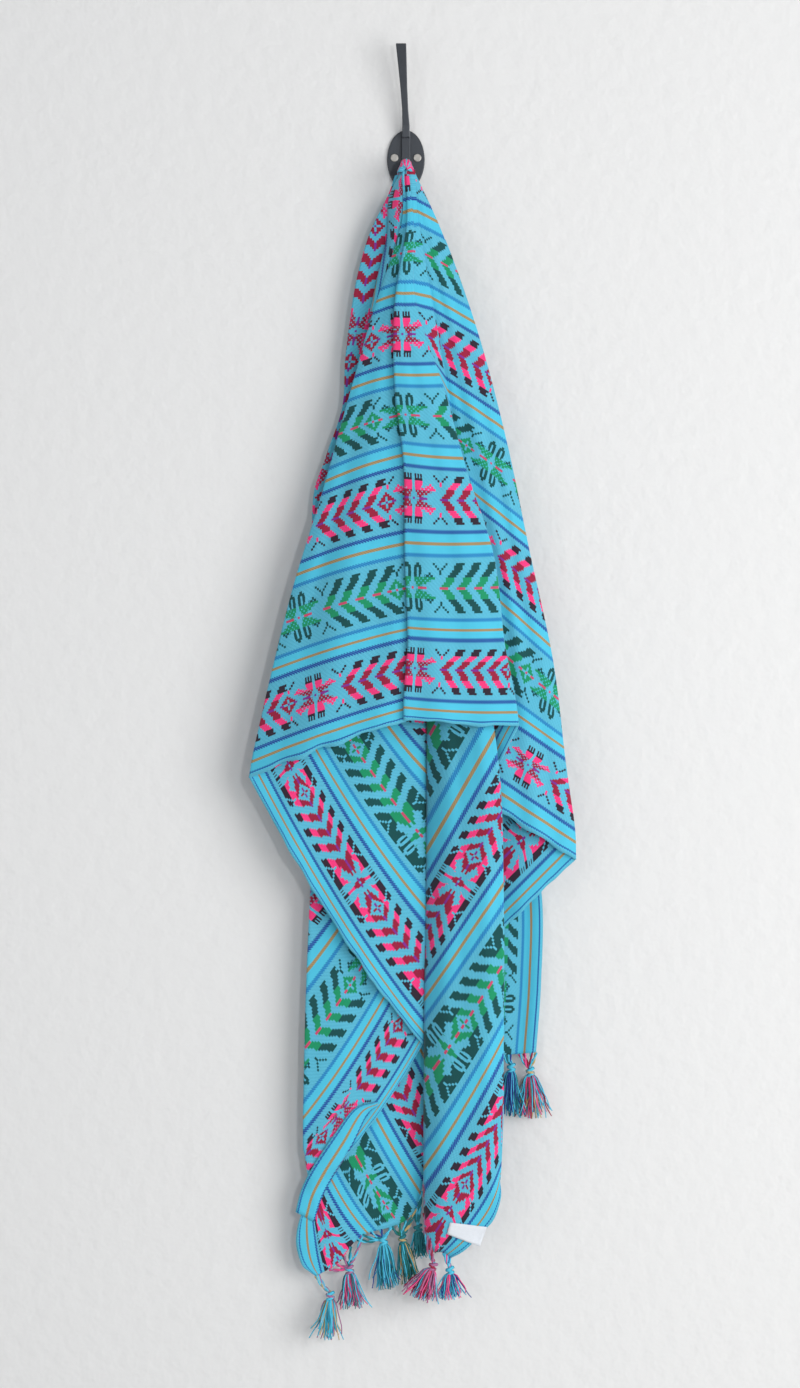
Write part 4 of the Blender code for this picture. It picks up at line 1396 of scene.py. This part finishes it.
@dataclass
class Studio:
    """The wall, the floor, the lamps and the camera."""

    eye: Row = (-0.005, -5.05, -0.541)
    lens: float = 129.7
    floor_level: float = -1.5
    wall_colour: Colour = (0.72, 0.725, 0.73, 1)

    def plane(self, name: str, corners: Sequence[Row], finish: PlainFinish) -> bpy.types.Object:
        """Return a flat four-cornered piece of the stage.

        Args:
            name: the piece's name.
            corners: its four corners.
            finish: its finish.

        Returns:
            The object.
        """
        mesh = bpy.data.meshes.new(name)
        mesh.from_pydata([Vector(corner) for corner in corners], [], [(0, 1, 2, 3)])
        material = finish.material()
        mesh.materials.append(material)
        self.one_sided(material)
        made = bpy.data.objects.new(name, mesh)
        bpy.context.scene.collection.objects.link(made)
        return made

    def one_sided(self, material: bpy.types.Material) -> None:
        """Let the stage be seen from its front only, so that it hides nothing from behind.

        Args:
            material: the stage's material.
        """
        tree = material.node_tree
        shader = tree.nodes["Principled BSDF"]
        out = tree.nodes["Material Output"]
        clear = tree.nodes.new("ShaderNodeBsdfTransparent")
        side = tree.nodes.new("ShaderNodeNewGeometry")
        both = tree.nodes.new("ShaderNodeMixShader")
        tree.links.new(side.outputs["Backfacing"], both.inputs[0])
        tree.links.new(shader.outputs[0], both.inputs[1])
        tree.links.new(clear.outputs[0], both.inputs[2])
        tree.links.new(both.outputs[0], out.inputs["Surface"])

    def lamp(self, name: str, place: Row, target: Row, size: float, power: float,
             colour: tuple[float, float, float] = (1, 1, 1)) -> None:
        """Add an area lamp that looks at a target.

        Args:
            name: the lamp's name.
            place: where it stands.
            target: what it looks at.
            size: the side of its square.
            power: its power in watts.
            colour: the colour of its light.
        """
        data = bpy.data.lights.new(name, "AREA")
        data.size = size
        data.energy = power
        data.color = colour
        made = bpy.data.objects.new(name, data)
        made.location = place
        way = Vector(target) - Vector(place)
        made.rotation_euler = way.to_track_quat("-Z", "Y").to_euler()
        bpy.context.scene.collection.objects.link(made)

    def build(self) -> None:
        """Set up the stage, the lamps, the camera and the view transform."""
        low = self.floor_level
        self.plane("Wall", ((-4, 0, low), (4, 0, low), (4, 0, 2.5), (-4, 0, 2.5)),
                   PlainFinish("Wall paint", self.wall_colour, 0.9, 0.0, 0.012, 60.0, 0.0015))
        self.plane("Floor", ((-4, -8, low), (4, -8, low), (4, 0, low), (-4, 0, low)),
                   PlainFinish("Floor", (0.72, 0.71, 0.69, 1), 0.9, 0.0, 0.02, 8.0))
        self.lamp("Key", (2.3, -2.5, -0.45), (0.1, 0, -0.75), 2.4, 84.0, (1.0, 0.99, 0.975))
        self.lamp("Fill", (-2.6, -3.6, -0.2), (0, 0, -0.7), 3.0, 20.0, (0.94, 0.97, 1.0))
        self.lamp("Window", (0.95, -4.8, -0.1), (0, 0, -0.7), 0.16, 32.0)
        world = bpy.data.worlds.new("Studio")
        bpy.context.scene.world = world
        world.use_nodes = True
        sky = world.node_tree.nodes["Background"]
        sky.inputs["Color"].default_value = (0.97, 0.98, 1.0, 1)
        sky.inputs["Strength"].default_value = 0.40
        data = bpy.data.cameras.new("Camera")
        data.lens = self.lens
        data.sensor_fit = "AUTO"
        data.sensor_width = 36.0
        camera = bpy.data.objects.new("Camera", data)
        camera.location = self.eye
        camera.rotation_euler = (math.radians(90), 0, 0)
        bpy.context.scene.collection.objects.link(camera)
        bpy.context.scene.camera = camera
        bpy.context.scene.view_settings.view_transform = "Standard"


def declare_sheets(tassels: dict[str, bpy.types.Object]) -> None:
    """Sort the tassels into those of the first end and those of the second, and do nothing more with them.

    Args:
        tassels: the tassels by their nodes.
    """
    end1 = [made for node, made in tassels.items() if "end1" in node]
    end2 = [made for node, made in tassels.items() if "end2" in node]


def main() -> None:
    """Build the cloth, its tassels and label, the hook and the stage, in that order."""
    logging.basicConfig(level=logging.INFO, format="%(name)s %(message)s")
    front = FrontCloth()
    right = front.right_run().build()
    left = front.left_run().build()
    wall = WallCloth()
    ridge, flank, back_left, back_right = wall.build()
    roll = Roll().build(left)
    saddle = Saddle().build()
    tassels = build_tassels(wall.bottoms)
    label = CareLabel().build(right)
    Hook().dress()
    declare_sheets(tassels)
    Studio().build()


if __name__ == "__main__":
    main()
